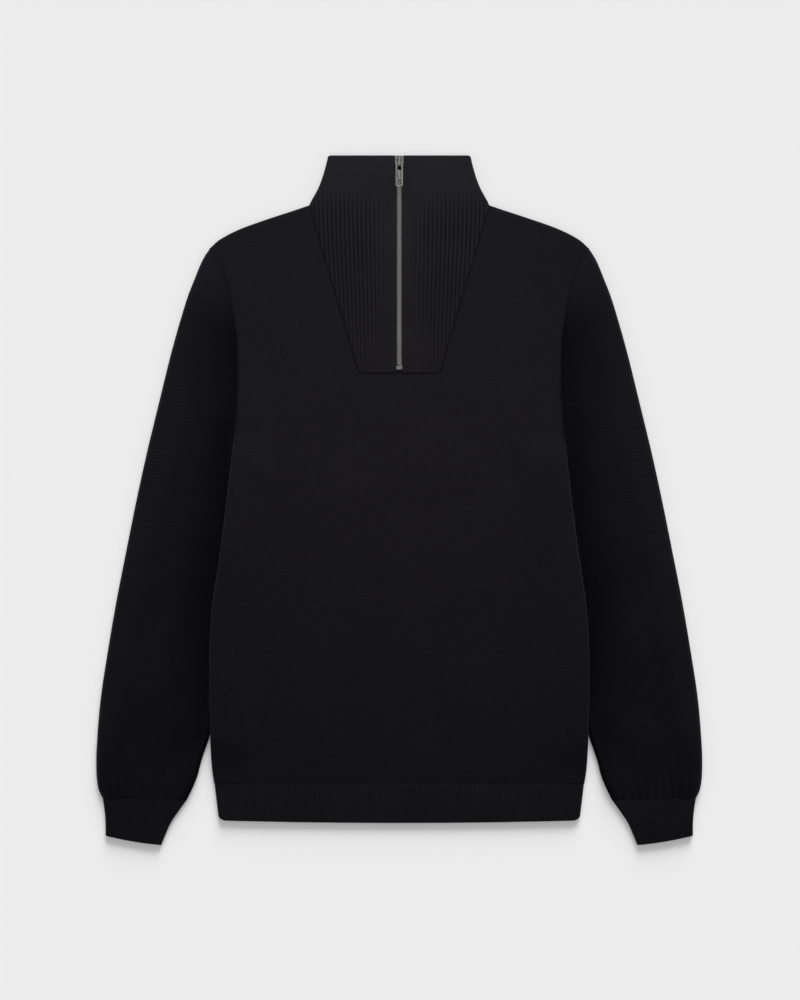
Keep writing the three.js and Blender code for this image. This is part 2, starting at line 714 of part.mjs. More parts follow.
// Hem band: a flattened ribbed tube with its lower edge bowed up towards rounded corners
function hem() {
  const lowEdge = (part) => {
    const corner = clamp(1 - (1 - part) * HEM.lowHalf / HEM.corner, 0, 1);
    return HEM.bow * part ** 2 + (HEM.corner - HEM.bow) * (1 - Math.sqrt(1 - corner ** 2));
  };
  const base = HALF_THICKNESS - KNIT_WALL;
  const ribs = Math.round(HEM.topHalf / HEM_RIB_PITCH);
  const outer = [];
  const inner = [];
  for (const t of HEM_LINES) {
    const width = lerp(HEM.lowHalf, HEM.topHalf, t);
    const stretch = width - FOLD_REACH;
    const lines = { outer: [], inner: [] };
    const add = (line, x, z, along) => {
      line.push(at(x, lerp(lowEdge(x / width), HEM.top, t), HALF_THICKNESS + z, along));
    };
    const addFold = (angle, up, along) => {
      const section = foldSection(angle, HALF_THICKNESS, 1);
      add(lines.outer, width - section.outerInset, up * section.outerRise, along);
      add(lines.inner, width - section.innerInset, up * section.innerRise, along);
    };
    add(lines.outer, 0, base + RIB_WALL, 0);
    for (const { distance, crest } of ribPlaces(stretch, stretch / ribs)) {
      add(lines.outer, distance, base + RIB_WALL + crest * RIB_RELIEF, distance / stretch);
    }
    for (let rib = 0; rib < ribs; rib += HEM_INNER_STEP) {
      add(lines.inner, stretch * rib / ribs, base, rib / ribs);
    }
    for (const angle of FOLD_ANGLES) addFold(angle, 1, 2 - angle / 90);
    for (const angle of [...FOLD_ANGLES].reverse().slice(1)) addFold(angle, -1, 2 + angle / 90);
    for (const part of HEM_UNDER_COLUMNS) {
      add(lines.outer, stretch * part, -HALF_THICKNESS, 4 - part);
      add(lines.inner, stretch * part, -base, 4 - part);
    }
    outer.push(lines.outer);
    inner.push(lines.inner);
  }
  const skin = new Skin();
  skin.wall(outer, inner);
  skin.rimFirstLine(outer, inner);
  skin.rimLastLine(outer, inner);
  return skin.addMirror();
}

// A block given by its sides, standing between two heights
function block(left, right, low, high, bottom, top) {
  const geometry = new THREE.BoxGeometry(right - left, high - low, top - bottom);
  const centre = at((left + right) / 2, (low + high) / 2, (bottom + top) / 2, 0);
  return geometry.translate(centre.x, centre.y, centre.z);
}

function toSolid(geometry) {
  const bare = geometry.clone();
  bare.deleteAttribute('normal');
  bare.deleteAttribute('uv');
  const merged = mergeVertices(bare, WELD_DISTANCE);
  return new wasm.Manifold(new wasm.Mesh({
    numProp: 3,
    vertProperties: new Float32Array(merged.attributes.position.array),
    triVerts: new Uint32Array(merged.index.array),
  }));
}

function toGeometry(solid) {
  const mesh = solid.getMesh();
  const geometry = new THREE.BufferGeometry();
  geometry.setAttribute('position', new THREE.BufferAttribute(mesh.vertProperties, 3));
  geometry.setIndex(new THREE.BufferAttribute(mesh.triVerts, 1));
  return geometry;
}

// The slider: a neck in the channel, the plate over it, and the bridge that holds the pull tab
function sliderGeometry() {
  const plateBottom = SLIDER.top - SLIDER.plate;
  const outline = new THREE.Shape([
    new THREE.Vector2(-SLIDER.lowHalf, SLIDER.low),
    new THREE.Vector2(SLIDER.lowHalf, SLIDER.low),
    new THREE.Vector2(SLIDER.half, SLIDER.low + SLIDER.shoulder),
    new THREE.Vector2(SLIDER.half, SLIDER.high - SLIDER.chamfer),
    new THREE.Vector2(SLIDER.half - SLIDER.chamfer, SLIDER.high),
    new THREE.Vector2(SLIDER.chamfer - SLIDER.half, SLIDER.high),
    new THREE.Vector2(-SLIDER.half, SLIDER.high - SLIDER.chamfer),
    new THREE.Vector2(-SLIDER.half, SLIDER.low + SLIDER.shoulder),
  ]);
  const plate = new THREE.ExtrudeGeometry(outline, { depth: SLIDER.plate, bevelEnabled: false });
  const shift = at(0, 0, plateBottom, 0);
  plate.translate(shift.x, shift.y, shift.z);
  const foot = SLIDER.top - SLIDER.plate / 2;
  const arch = new THREE.Shape([
    new THREE.Vector2(BRIDGE.low, foot),
    new THREE.Vector2(BRIDGE.low + BRIDGE.leg, foot),
    new THREE.Vector2(BRIDGE.low + BRIDGE.leg, BRIDGE.top - BRIDGE.bar),
    new THREE.Vector2(BRIDGE.high - BRIDGE.leg, BRIDGE.top - BRIDGE.bar),
    new THREE.Vector2(BRIDGE.high - BRIDGE.leg, foot),
    new THREE.Vector2(BRIDGE.high, foot),
    new THREE.Vector2(BRIDGE.high, BRIDGE.top - BRIDGE.chamfer),
    new THREE.Vector2(BRIDGE.high - BRIDGE.chamfer, BRIDGE.top),
    new THREE.Vector2(BRIDGE.low + BRIDGE.chamfer, BRIDGE.top),
    new THREE.Vector2(BRIDGE.low, BRIDGE.top - BRIDGE.chamfer),
  ]);
  const bridge = new THREE.ExtrudeGeometry(arch, { depth: 2 * BRIDGE.half, bevelEnabled: false });
  bridge.applyMatrix4(new THREE.Matrix4().makeBasis(
    new THREE.Vector3(0, 1, 0), new THREE.Vector3(0, 0, 1), new THREE.Vector3(1, 0, 0),
  ));
  bridge.translate(-BRIDGE.half, shift.y, 0);
  const neck = block(
    -SLIDER.neckHalf, SLIDER.neckHalf, SLIDER.low, SLIDER.high - SLIDER.chamfer, CHAIN.bottom,
    SLIDER.top - SLIDER.plate / 2,
  );
  return toGeometry(toSolid(plate).add(toSolid(bridge)).add(toSolid(neck)));
}

// A flat bar with rounded corners, across the zip and between two places along it
function roundedBar(half, low, high, lowRadius, highRadius, thickness) {
  const quarter = Math.PI / 2;
  const outline = new THREE.Shape();
  outline.absarc(half - lowRadius, low + lowRadius, lowRadius, -quarter, 0, false);
  outline.absarc(half - highRadius, high - highRadius, highRadius, 0, quarter, false);
  outline.absarc(-half + highRadius, high - highRadius, highRadius, quarter, 2 * quarter, false);
  outline.absarc(-half + lowRadius, low + lowRadius, lowRadius, 2 * quarter, 3 * quarter, false);
  const options = { depth: thickness, bevelEnabled: false, curveSegments: 3 };
  return toSolid(new THREE.ExtrudeGeometry(outline, options).translate(0, 0, -thickness / 2));
}

// The pull tab, about the middle of its crossbar, with a slot for the bridge and a hole below
function pullGeometry() {
  const top = PULL.crossbar / 2;
  const low = top - PULL.length;
  const hole = low + PULL.holeRim;
  const through = 2 * PULL.thickness;
  const tab = roundedBar(PULL.half, low, top, PULL.endRadius, PULL.topRadius, PULL.thickness);
  const slot = roundedBar(
    PULL.slotHalf, -top - PULL.slotLength, -top, PULL.slotRadius, PULL.slotRadius / 2, through,
  );
  const eye = roundedBar(
    PULL.holeHalf, hole, hole + PULL.holeLength, PULL.holeRadius, PULL.holeRadius, through,
  );
  return toGeometry(tab.subtract(slot).subtract(eye));
}

const sweater = new THREE.Group();

function addPiece(name, geometry, material) {
  const mesh = new THREE.Mesh(geometry, material);
  mesh.name = name;
  sweater.add(mesh);
  return mesh;
}

const knit = new THREE.MeshStandardMaterial({ color: KNIT_COLOUR, roughness: 0.95, metalness: 0 });
const sleeveKnit = knit.clone();
sleeveKnit.color = SLEEVE_COLOUR;
const rib = new THREE.MeshStandardMaterial({ color: RIB_COLOUR, roughness: 0.92, metalness: 0 });
const tape = new THREE.MeshStandardMaterial({ color: SLEEVE_COLOUR, roughness: 0.9, metalness: 0 });
const metal = new THREE.MeshStandardMaterial({ color: METAL_COLOUR, roughness: 0.35, metalness: 1 });

addPiece('front', bodyPanel(1).geometry(), knit);
addPiece('back', bodyPanel(-1).geometry(), knit);
addPiece('collar', collarPiece().geometry(), rib);
addPiece('hem', hem().geometry(), rib);

// The wearer's left is the +X side
for (const [name, build, material] of [['sleeve', sleeve, sleeveKnit], ['cuff', cuff, rib]]) {
  const left = build();
  addPiece(`${name}_left`, left.geometry(), material);
  addPiece(`${name}_right`, left.mirrored().geometry(), material);
}

const tapeHalf = [SEAM_GAP / 2, TAPE.width, TAPE.low, TAPE.high, TAPE.bottom, TAPE.top];
addPiece('zip_tape_left', block(...tapeHalf), tape);
addPiece('zip_tape_right', block(-TAPE.width, -SEAM_GAP / 2, ...tapeHalf.slice(2)), tape);
for (const [name, { half, low, high, bottom, top }] of [['zip_chain', CHAIN], ['zip_stop', STOP]]) {
  addPiece(name, block(-half, half, low, high, bottom, top), metal);
}
addPiece('zip_slider', sliderGeometry(), metal);

const pull = addPiece('zip_pull', pullGeometry(), metal);
pull.position.copy(at(0, PULL.axisHeight, PULL.axisZ, 0));
pull.rotation.x = degToRad(PULL.tilt);

export default sweater;
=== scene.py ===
"""Finish and fine form of a ribbed quarter zip sweater that lies flat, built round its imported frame.

Sizes inside the classes are in millimetres. Heights run up the garment from the hem's lower edge,
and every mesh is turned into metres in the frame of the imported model.
"""

import json
import logging
import math
from collections.abc import Callable, Sequence
from dataclasses import dataclass, field
from enum import Enum

import bpy
import numpy as np
from mathutils import Matrix, Vector

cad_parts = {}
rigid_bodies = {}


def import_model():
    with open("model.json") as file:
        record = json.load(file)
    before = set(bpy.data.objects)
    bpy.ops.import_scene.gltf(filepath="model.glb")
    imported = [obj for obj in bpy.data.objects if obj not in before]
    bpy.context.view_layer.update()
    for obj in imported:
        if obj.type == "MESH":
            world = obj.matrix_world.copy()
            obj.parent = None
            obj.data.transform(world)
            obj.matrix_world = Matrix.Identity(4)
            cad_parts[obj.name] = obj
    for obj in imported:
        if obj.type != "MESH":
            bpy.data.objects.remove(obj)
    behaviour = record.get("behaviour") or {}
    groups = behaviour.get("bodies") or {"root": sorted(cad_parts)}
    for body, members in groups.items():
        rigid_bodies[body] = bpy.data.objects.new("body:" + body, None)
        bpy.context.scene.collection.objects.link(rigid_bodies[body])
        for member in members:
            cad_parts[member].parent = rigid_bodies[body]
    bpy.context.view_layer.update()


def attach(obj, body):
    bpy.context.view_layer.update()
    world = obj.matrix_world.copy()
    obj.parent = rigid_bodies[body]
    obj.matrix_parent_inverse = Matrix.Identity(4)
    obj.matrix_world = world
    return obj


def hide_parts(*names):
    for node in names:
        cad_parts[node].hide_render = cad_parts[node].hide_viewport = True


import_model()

log = logging.getLogger("sweater")

MM = 0.001
COLLAR_TOP = 750.0
CUFF_LOW = -25.0
MID_HEIGHT = (COLLAR_TOP + CUFF_LOW) / 2
TURN = 2.0 * math.pi
CLOTH_MAP = "Cloth"
# The second UV map holds painted shade, a colour factor for each point.
PAINTED_SHADE_MAP = "PaintedShade"
RIM_ANGLE = math.radians(50)
METAL_ANGLE = math.radians(35)
YARN_ANGLE = math.radians(60)
SHEEN_ROUGHNESS = 0.45
METRE = 1000.0
RIB_CURVE = 0.7
SIDE_KEY = 1000.0
BACK_SIDE_KEY = 1100.0
BACK_KEY = 3000.0
BAND_STEPS = np.array([0, 0.003, 0.009, 0.02, 0.035, 0.06])


class Slot(Enum):
    """Material slots of the record."""

    BODY = "body_knit"
    SLEEVE = "sleeve_knit"
    RIB = "rib_knit"
    TAPE = "zip_tape"
    METAL = "zip_metal"


class Body(Enum):
    """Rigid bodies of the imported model."""

    GARMENT = "garment"
    PULL = "pull"


def smooth(value: np.ndarray | float, low: float, high: float) -> np.ndarray:
    """Eased step from 0 at low to 1 at high."""
    t = np.clip((np.asarray(value, dtype=float) - low) / (high - low), 0.0, 1.0)
    return t * t * (3.0 - 2.0 * t)


def mix(start: np.ndarray | float, end: np.ndarray | float, part: np.ndarray | float) -> np.ndarray:
    """Straight blend between two values."""
    return start + (end - start) * np.asarray(part, dtype=float)


class Profile:
    """A smooth curve through rows of (place, value)."""

    def __init__(self, *rows: tuple[float, float]) -> None:
        """Args: rows: Places with their values, in rising or falling order of place."""
        table = np.array(sorted(rows))
        self.places, self.values = table[:, 0], table[:, 1]
        slopes = np.empty(len(table))
        slopes[1:-1] = (self.values[2:] - self.values[:-2]) / (self.places[2:] - self.places[:-2])
        slopes[0] = (self.values[1] - self.values[0]) / (self.places[1] - self.places[0])
        slopes[-1] = (self.values[-1] - self.values[-2]) / (self.places[-1] - self.places[-2])
        self.slopes = slopes

    def __call__(self, place: np.ndarray | float) -> np.ndarray:
        """Value of the curve at a place, held level beyond its ends."""
        at = np.clip(np.asarray(place, dtype=float), self.places[0], self.places[-1])
        k = np.clip(np.searchsorted(self.places, at) - 1, 0, len(self.places) - 2)
        span = self.places[k + 1] - self.places[k]
        t = (at - self.places[k]) / span
        bend = (2 * t**3 - 3 * t**2 + 1) * self.values[k] + (3 * t**2 - 2 * t**3) * self.values[k + 1]
        lean = (t**3 - 2 * t**2 + t) * self.slopes[k] + (t**3 - t**2) * self.slopes[k + 1]
        return bend + span * lean


@dataclass(frozen=True)
class Row:
    """One line of a wall's points: their numbers in the mesh and their places along the line."""

    ids: np.ndarray
    along: np.ndarray

    def part(self, first: int | None, last: int | None) -> "Row":
        """A stretch of the same line."""
        return Row(self.ids[first:last], self.along[first:last])


def joined(*rows: Row) -> Row:
    """Rows put end to end."""
    return Row(np.concatenate([r.ids for r in rows]), np.concatenate([r.along for r in rows]))


class Wall:
    """Gathers the points and faces of one closed cloth wall, line by line."""

    def __init__(self) -> None:
        """Starts with no points."""
        self.points: list[np.ndarray] = []
        self.maps: list[np.ndarray] = []
        self.painted_shades: list[np.ndarray] = []
        self.faces: list[tuple[int, int, int]] = []
        self.count = 0

    def row(
        self, x: np.ndarray, height: np.ndarray | float, z: np.ndarray, along: np.ndarray,
        cloth: tuple[np.ndarray, np.ndarray] | None = None, shade: np.ndarray | float = 1.0,
    ) -> Row:
        """Adds one line of points.

        Args:
            x: Places across the garment.
            height: Heights up the garment.
            z: Levels above the surface.
            along: Rising keys that match points between neighbouring lines.
            cloth: Places on the cloth, if they aren't x and height.
            shade: Painted shade, a colour factor from 0 in a hollow to 1 where the cloth lies open.

        Returns:
            The line.
        """
        x = np.asarray(x, dtype=float)
        height = np.broadcast_to(np.asarray(height, dtype=float), x.shape)
        z = np.broadcast_to(np.asarray(z, dtype=float), x.shape)
        self.points.append(np.column_stack([x, height - MID_HEIGHT, z]))
        across, up = cloth if cloth is not None else (x, height)
        self.maps.append(np.column_stack([np.broadcast_to(part, x.shape) for part in (across, up)]))
        self.painted_shades.append(np.broadcast_to(np.asarray(shade, dtype=float), x.shape))
        ids = np.arange(self.count, self.count + len(x))
        self.count += len(x)
        return Row(ids, np.asarray(along, dtype=float))

    def band(self, first: Row, second: Row) -> None:
        """Fills the band between two lines, matched by their keys."""
        i, j = 0, 0
        last_i, last_j = len(first.ids) - 1, len(second.ids) - 1
        a, b = first.ids.tolist(), second.ids.tolist()
        ka, kb = first.along.tolist(), second.along.tolist()
        while i < last_i or j < last_j:
            if i < last_i and (j == last_j or ka[i + 1] <= kb[j + 1]):
                self.faces.append((a[i], a[i + 1], b[j]))
                i += 1
            else:
                self.faces.append((a[i], b[j + 1], b[j]))
                j += 1

    def ladder(self, first: Sequence[int], second: Sequence[int]) -> None:
        """Fills the band between two equally long lists of points."""
        for k in range(len(first) - 1):
            self.faces.append((first[k], first[k + 1], second[k + 1]))
            self.faces.append((first[k], second[k + 1], second[k]))

    def sides(self, outer: Sequence[Row], inner: Sequence[Row]) -> None:
        """Adds the outer and the inner face of a wall."""
        for k in range(len(outer) - 1):
            self.band(outer[k], outer[k + 1])
            self.band(inner[k + 1], inner[k])

    def close_first(self, outer: Sequence[Row], inner: Sequence[Row]) -> None:
        """Closes the wall along its first line."""
        self.band(inner[0], outer[0])

    def close_last(self, outer: Sequence[Row], inner: Sequence[Row]) -> None:
        """Closes the wall along its last line."""
        self.band(outer[-1], inner[-1])

    def close_starts(self, outer: Sequence[Row], inner: Sequence[Row]) -> None:
        """Closes the wall along the first points of its lines."""
        self.ladder([int(r.ids[0]) for r in outer], [int(r.ids[0]) for r in inner])

    def close_ends(self, outer: Sequence[Row], inner: Sequence[Row]) -> None:
        """Closes the wall along the last points of its lines."""
        self.ladder([int(r.ids[-1]) for r in inner], [int(r.ids[-1]) for r in outer])

    def piece(
        self, name: str, material: bpy.types.Material, both: bool = False, mirror: bool = False,
        turned: bool = False,
    ) -> bpy.types.Object:
        """Makes the mesh object.

        Args:
            name: Name of the piece.
            material: Its finish.
            both: Adds the mirror image across the centre line, welded to it.
            mirror: Makes the mirror image alone.
            turned: Turns every face the other way.

        Returns:
            The new object, in the scene.
        """
        points = np.concatenate(self.points) * MM
        cloth = np.concatenate(self.maps) * MM
        shade = np.concatenate(self.painted_shades)
        faces = np.array(self.faces)
        if turned:
            faces = faces[:, ::-1]
        if mirror or both:
            image = points * np.array([-1.0, 1.0, 1.0])
            image_map = cloth * np.array([-1.0, 1.0])
        if mirror:
            points, cloth, faces = image, image_map, faces[:, ::-1]
        elif both:
            faces = np.concatenate([faces, faces[:, ::-1] + len(points)])
            points, cloth = np.concatenate([points, image]), np.concatenate([cloth, image_map])
            shade = np.concatenate([shade, shade])
        keys = np.round(points * 1e7).astype(np.int64)
        _, chosen, merged = np.unique(keys, axis=0, return_index=True, return_inverse=True)
        welded = merged.reshape(-1)[faces]
        whole = (welded != np.roll(welded, 1, axis=1)).all(axis=1)
        faces, welded = faces[whole], welded[whole]
        mesh = bpy.data.meshes.new(name)
        mesh.from_pydata(points[chosen].tolist(), [], welded.tolist())
        # Painted shade goes into its own map, which the finishes read to darken the base colour.
        painted_shade = np.column_stack([shade, np.zeros_like(shade)])
        for map_name, places in ((CLOTH_MAP, cloth), (PAINTED_SHADE_MAP, painted_shade)):
            layer = mesh.uv_layers.new(name=map_name)
            layer.data.foreach_set("uv", places[faces.reshape(-1)].reshape(-1))
        return place(name, mesh, material, RIM_ANGLE)


def place(
    name: str, mesh: bpy.types.Mesh, material: bpy.types.Material, crease: float
) -> bpy.types.Object:
    """Puts a mesh in the scene with its finish, smooth but for edges sharper than crease."""
    mesh.materials.append(material)
    mesh.shade_smooth()
    mesh.set_sharp_from_angle(angle=crease)
    mesh.validate()
    made = bpy.data.objects.new(name, mesh)
    bpy.context.scene.collection.objects.link(made)
    return made


class Signal:
    """A shader value that can be used in arithmetic."""

    def __init__(self, graph: "Graph", socket: bpy.types.NodeSocket) -> None:
        """Args: graph: The tree it belongs to. socket: The output that carries it."""
        self.graph = graph
        self.socket = socket

    def _math(self, operation: str, *values: "Signal | float") -> "Signal":
        """One Math node on this value and others."""
        inputs = dict(enumerate((self, *values)))
        return self.graph.signal("ShaderNodeMath", {"operation": operation}, inputs)

    def __add__(self, other: "Signal | float") -> "Signal":
        """Sum."""
        return self._math("ADD", other)

    __radd__ = __add__

    def __mul__(self, other: "Signal | float") -> "Signal":
        """Product."""
        return self._math("MULTIPLY", other)

    __rmul__ = __mul__

    def __sub__(self, other: "Signal | float") -> "Signal":
        """Difference."""
        return self._math("SUBTRACT", other)

    def __rsub__(self, other: float) -> "Signal":
        """Difference from a number."""
        return (self * -1.0) + other

    def wave(self) -> "Signal":
        """Cosine."""
        return self._math("COSINE")

    def size(self) -> "Signal":
        """Value without its sign."""
        return self._math("ABSOLUTE")

    def held(self) -> "Signal":
        """Value kept between 0 and 1."""
        return self._math("MINIMUM", 1.0)._math("MAXIMUM", 0.0)


Input = Signal | float | Sequence[float]


class Graph:
    """The node tree of one material, with its Principled shader."""

    def __init__(self, name: str) -> None:
        """Args: name: Name of the material."""
        self.material = bpy.data.materials.new(name)
        self.material.use_nodes = True
        self.tree = self.material.node_tree
        self.shader = next(n for n in self.tree.nodes if n.type == "BSDF_PRINCIPLED")

    def node(
        self, kind: str, settings: dict[str, object] | None = None,
        inputs: dict[int | str, Input] | None = None,
    ) -> bpy.types.Node:
        """Adds a node.

        Args:
            kind: Node type.
            settings: Properties that are set before the inputs.
            inputs: Values or links of its sockets, by name or number.

        Returns:
            The node.
        """
        made = self.tree.nodes.new(kind)
        for key, value in (settings or {}).items():
            setattr(made, key, value)
        for key, value in (inputs or {}).items():
            if isinstance(value, Signal):
                self.tree.links.new(value.socket, made.inputs[key])
            else:
                made.inputs[key].default_value = value
        return made

    def signal(
        self, kind: str, settings: dict[str, object] | None = None,
        inputs: dict[int | str, Input] | None = None, output: int | str = 0,
    ) -> Signal:
        """Adds a node and gives one of its outputs."""
        return Signal(self, self.node(kind, settings, inputs).outputs[output])

    def cloth_place(self) -> tuple[Signal, Signal]:
        """Place on the cloth, in millimetres across and along it."""
        place_on = self.signal("ShaderNodeUVMap", {"uv_map": CLOTH_MAP})
        parts = self.node("ShaderNodeSeparateXYZ", inputs={0: place_on})
        return Signal(self, parts.outputs[0]) * METRE, Signal(self, parts.outputs[1]) * METRE

    def painted_shade(self) -> Signal:
        """Painted shade: a colour factor from 0 in a hollow to 1 where the cloth lies open."""
        place_on = self.signal("ShaderNodeUVMap", {"uv_map": PAINTED_SHADE_MAP})
        return Signal(self, self.node("ShaderNodeSeparateXYZ", inputs={0: place_on}).outputs[0])

    def object_place(self) -> Signal:
        """Place in the object's own space, in metres."""
        return self.signal("ShaderNodeTexCoord", output="Object")

    def noise(self, scale: float, detail: float) -> Signal:
        """Smooth noise around 0.5, with scale cells to the metre."""
        inputs = {"Scale": scale, "Detail": detail, "Vector": self.object_place()}
        return self.signal("ShaderNodeTexNoise", inputs=inputs)

    def blend(self, part: Signal, low: Sequence[float], high: Sequence[float]) -> Signal:
        """Colour between two colours."""
        made = self.node("ShaderNodeMix", {"data_type": "RGBA"})
        self.tree.links.new(part.socket, made.inputs[0])
        made.inputs[6].default_value = (*low, 1.0)
        made.inputs[7].default_value = (*high, 1.0)
        return Signal(self, made.outputs[2])

    def dimmed(self, colour: Signal, part: Signal) -> Signal:
        """Colour times a value."""
        settings = {"operation": "SCALE"}
        return self.signal("ShaderNodeVectorMath", settings, {0: colour, "Scale": part})

    def feed(self, name: str, value: Input) -> None:
        """Sets or links one of the shader's own sockets."""
        if isinstance(value, Signal):
            self.tree.links.new(value.socket, self.shader.inputs[name])
        else:
            self.shader.inputs[name].default_value = value

    def raise_by(self, height: Signal, distance: float) -> None:
        """Bumps the surface by a height of 0 to 1, distance metres deep."""
        inputs = {"Strength": 1.0, "Distance": distance, "Height": height}
        self.feed("Normal", self.signal("ShaderNodeBump", inputs=inputs))

    def cloth_surface(self, colour: Signal, roughness: float, gloss: float, sheen: float) -> None:
        """Feeds the sockets that every knit shares.

        Args:
            colour: Colour of the yarn, before the painted shade dims it.
            roughness: Roughness of the yarn.
            gloss: Specular level.
            sheen: Weight of the fuzz on the yarn.
        """
        # The base colour is dimmed by the painted shade from its map.
        self.feed("Base Color", self.dimmed(colour, self.painted_shade()))
        self.feed("Roughness", roughness)
        self.feed("Specular IOR Level", gloss)
        self.feed("Sheen Weight", sheen)
        self.feed("Sheen Roughness", SHEEN_ROUGHNESS)


@dataclass(frozen=True)
class Knit:
    """Fine raised knit: small dots in a chequered order, each a knot of two or three loops."""

    name: str
    low: tuple[float, float, float]
    high: tuple[float, float, float]
    across: float = 4.24
    along: float = 3.63
    wander: float = 1.4
    relief: float = 0.00050
    roughness: float = 0.88
    sheen: float = 0.02
    gloss: float = 0.02

    def material(self) -> bpy.types.Material:
        """Builds the material."""
        graph = Graph(self.name)
        u, v = graph.cloth_place()
        drift = graph.noise(60.0, 2.0) - 0.5
        wave_u = (u * (TURN / self.across) + drift * self.wander).wave()
        wave_v = (v * (TURN / self.along) + drift * self.wander).wave()
        dots = (wave_u * wave_v) * 0.5 + 0.5
        loops = (u * (2.0 * TURN / self.across) + v * (TURN / self.along)).wave() * 0.5 + 0.5
        fuzz = graph.noise(1400.0, 3.0)
        patch = graph.noise(14.0, 2.0)
        height = dots * 0.78 + loops * 0.12 + fuzz * 0.25
        # The colour follows the raised dots as a painted highlight on the stitch tops; fuzz and patches
        # add random tone.
        shade = (dots * 0.55 + fuzz * 0.35 + patch * 0.3 - 0.1).held()
        colour = graph.blend(shade, self.low, self.high)
        graph.cloth_surface(colour, self.roughness, self.gloss, self.sheen)
        graph.raise_by(height, self.relief)
        return graph.material


@dataclass(frozen=True)
class RibKnit:
    """Ribbed knit: the ribs are in the mesh, and their stitches stack up along them."""

    name: str
    low: tuple[float, float, float]
    high: tuple[float, float, float]
    stitch: float = 2.2
    slant: float = 1.3
    relief: float = 0.00030
    roughness: float = 0.86
    sheen: float = 0.02
    gloss: float = 0.02

    def material(self) -> bpy.types.Material:
        """Builds the material."""
        graph = Graph(self.name)
        u, v = graph.cloth_place()
        lean = (u * (TURN / self.stitch)).wave() * self.slant
        stitches = (v * (TURN / self.stitch) + lean).wave() * 0.5 + 0.5
        fuzz = graph.noise(1500.0, 3.0)
        patch = graph.noise(16.0, 2.0)
        # The colour follows the stitches as a painted highlight on their tops; fuzz and patches add
        # random tone.
        shade = (stitches * 0.3 + fuzz * 0.5 + patch * 0.3 - 0.05).held()
        colour = graph.blend(shade, self.low, self.high)
        graph.cloth_surface(colour, self.roughness, self.gloss, self.sheen)
        graph.raise_by(stitches * 0.6 + fuzz * 0.4, self.relief)
        return graph.material


@dataclass(frozen=True)
class Yarn:
    """Single yarn of the linked seams, with its twist as fine noise."""

    name: str
    low: tuple[float, float, float]
    high: tuple[float, float, float]
    relief: float = 0.00010
    roughness: float = 0.85
    gloss: float = 0.02

    def material(self) -> bpy.types.Material:
        """Builds the material."""
        graph = Graph(self.name)
        twist = graph.noise(1800.0, 2.0)
        graph.feed("Base Color", graph.blend(twist, self.low, self.high))
        graph.feed("Roughness", self.roughness)
        graph.feed("Specular IOR Level", self.gloss)
        graph.raise_by(twist, self.relief)
        return graph.material


@dataclass(frozen=True)
class Tape:
    """Woven zip tape in fine herringbone."""

    name: str
    colour: tuple[float, float, float]
    pitch: float = 0.9
    relief: float = 0.00012
    # How dark the painted shade makes the weave's hollows.
    hollow: float = 0.6
    roughness: float = 0.85
    gloss: float = 0.05

    def material(self) -> bpy.types.Material:
        """Builds the material."""
        graph = Graph(self.name)
        parts = graph.node("ShaderNodeSeparateXYZ", inputs={0: graph.object_place()})
        x, y = Signal(graph, parts.outputs[0]) * METRE, Signal(graph, parts.outputs[1]) * METRE
        weave = ((x.size() + y) * (TURN / self.pitch)).wave() * 0.5 + 0.5
        # Painted shade: the weave's hollows are darker.
        darker = tuple(self.hollow * c for c in self.colour)
        graph.feed("Base Color", graph.blend(weave, darker, self.colour))
        graph.feed("Roughness", self.roughness)
        graph.feed("Specular IOR Level", self.gloss)
        graph.raise_by(weave, self.relief)
        return graph.material


@dataclass(frozen=True)
class ZipMetal:
    """Brushed grey zip metal with fine scuffs and an uneven tone."""

    name: str
    low: tuple[float, float, float]
    high: tuple[float, float, float]
    roughness: float = 0.3
    scuffing: float = 0.25
    polish: float = 0.12
    relief: float = 0.00002

    def material(self) -> bpy.types.Material:
        """Builds the material."""
        graph = Graph(self.name)
        scuff = graph.noise(2600.0, 2.0)
        tone = graph.noise(500.0, 1.0)
        graph.feed("Base Color", graph.blend((tone * 1.6 - 0.3).held(), self.low, self.high))
        graph.feed("Metallic", 1.0)
        graph.feed("Roughness", scuff * self.scuffing + (self.roughness - self.polish))
        graph.raise_by(scuff, self.relief)
        return graph.material


@dataclass(frozen=True)
class Crease:
    """A soft ridge, or a trough where its depth is negative, along a straight run of cloth."""

    start: tuple[float, float]
    end: tuple[float, float]
    width: float
    depth: float

    def lift(self, x: np.ndarray, height: np.ndarray) -> np.ndarray:
        """How far it raises the cloth at each place."""
        run = np.array(self.end) - np.array(self.start)
        length = float(np.hypot(*run))
        dx, dy = x - self.start[0], height - self.start[1]
        part = (dx * run[0] + dy * run[1]) / length**2
        off = (dx * run[1] - dy * run[0]) / length
        taper = smooth(part, -0.15, 0.25) * (1.0 - smooth(part, 0.75, 1.15))
        return self.depth * taper * np.exp(-((off / self.width) ** 2))


FRONT_CREASES = (
    Crease((182, 455), (118, 392), 12, -0.45), Crease((184, 428), (132, 366), 10, 0.4),
    Crease((150, 214), (196, 158), 17, -0.4), Crease((120, 330), (70, 262), 20, 0.3),
    Crease((64, 150), (30, 232), 19, -0.3),
)
BACK_CREASES = (
    Crease((176, 448), (124, 396), 13, 0.4), Crease((150, 230), (192, 170), 18, 0.35),
    Crease((88, 300), (52, 236), 21, 0.3), Crease((84, 520), (46, 468), 16, 0.3),
)


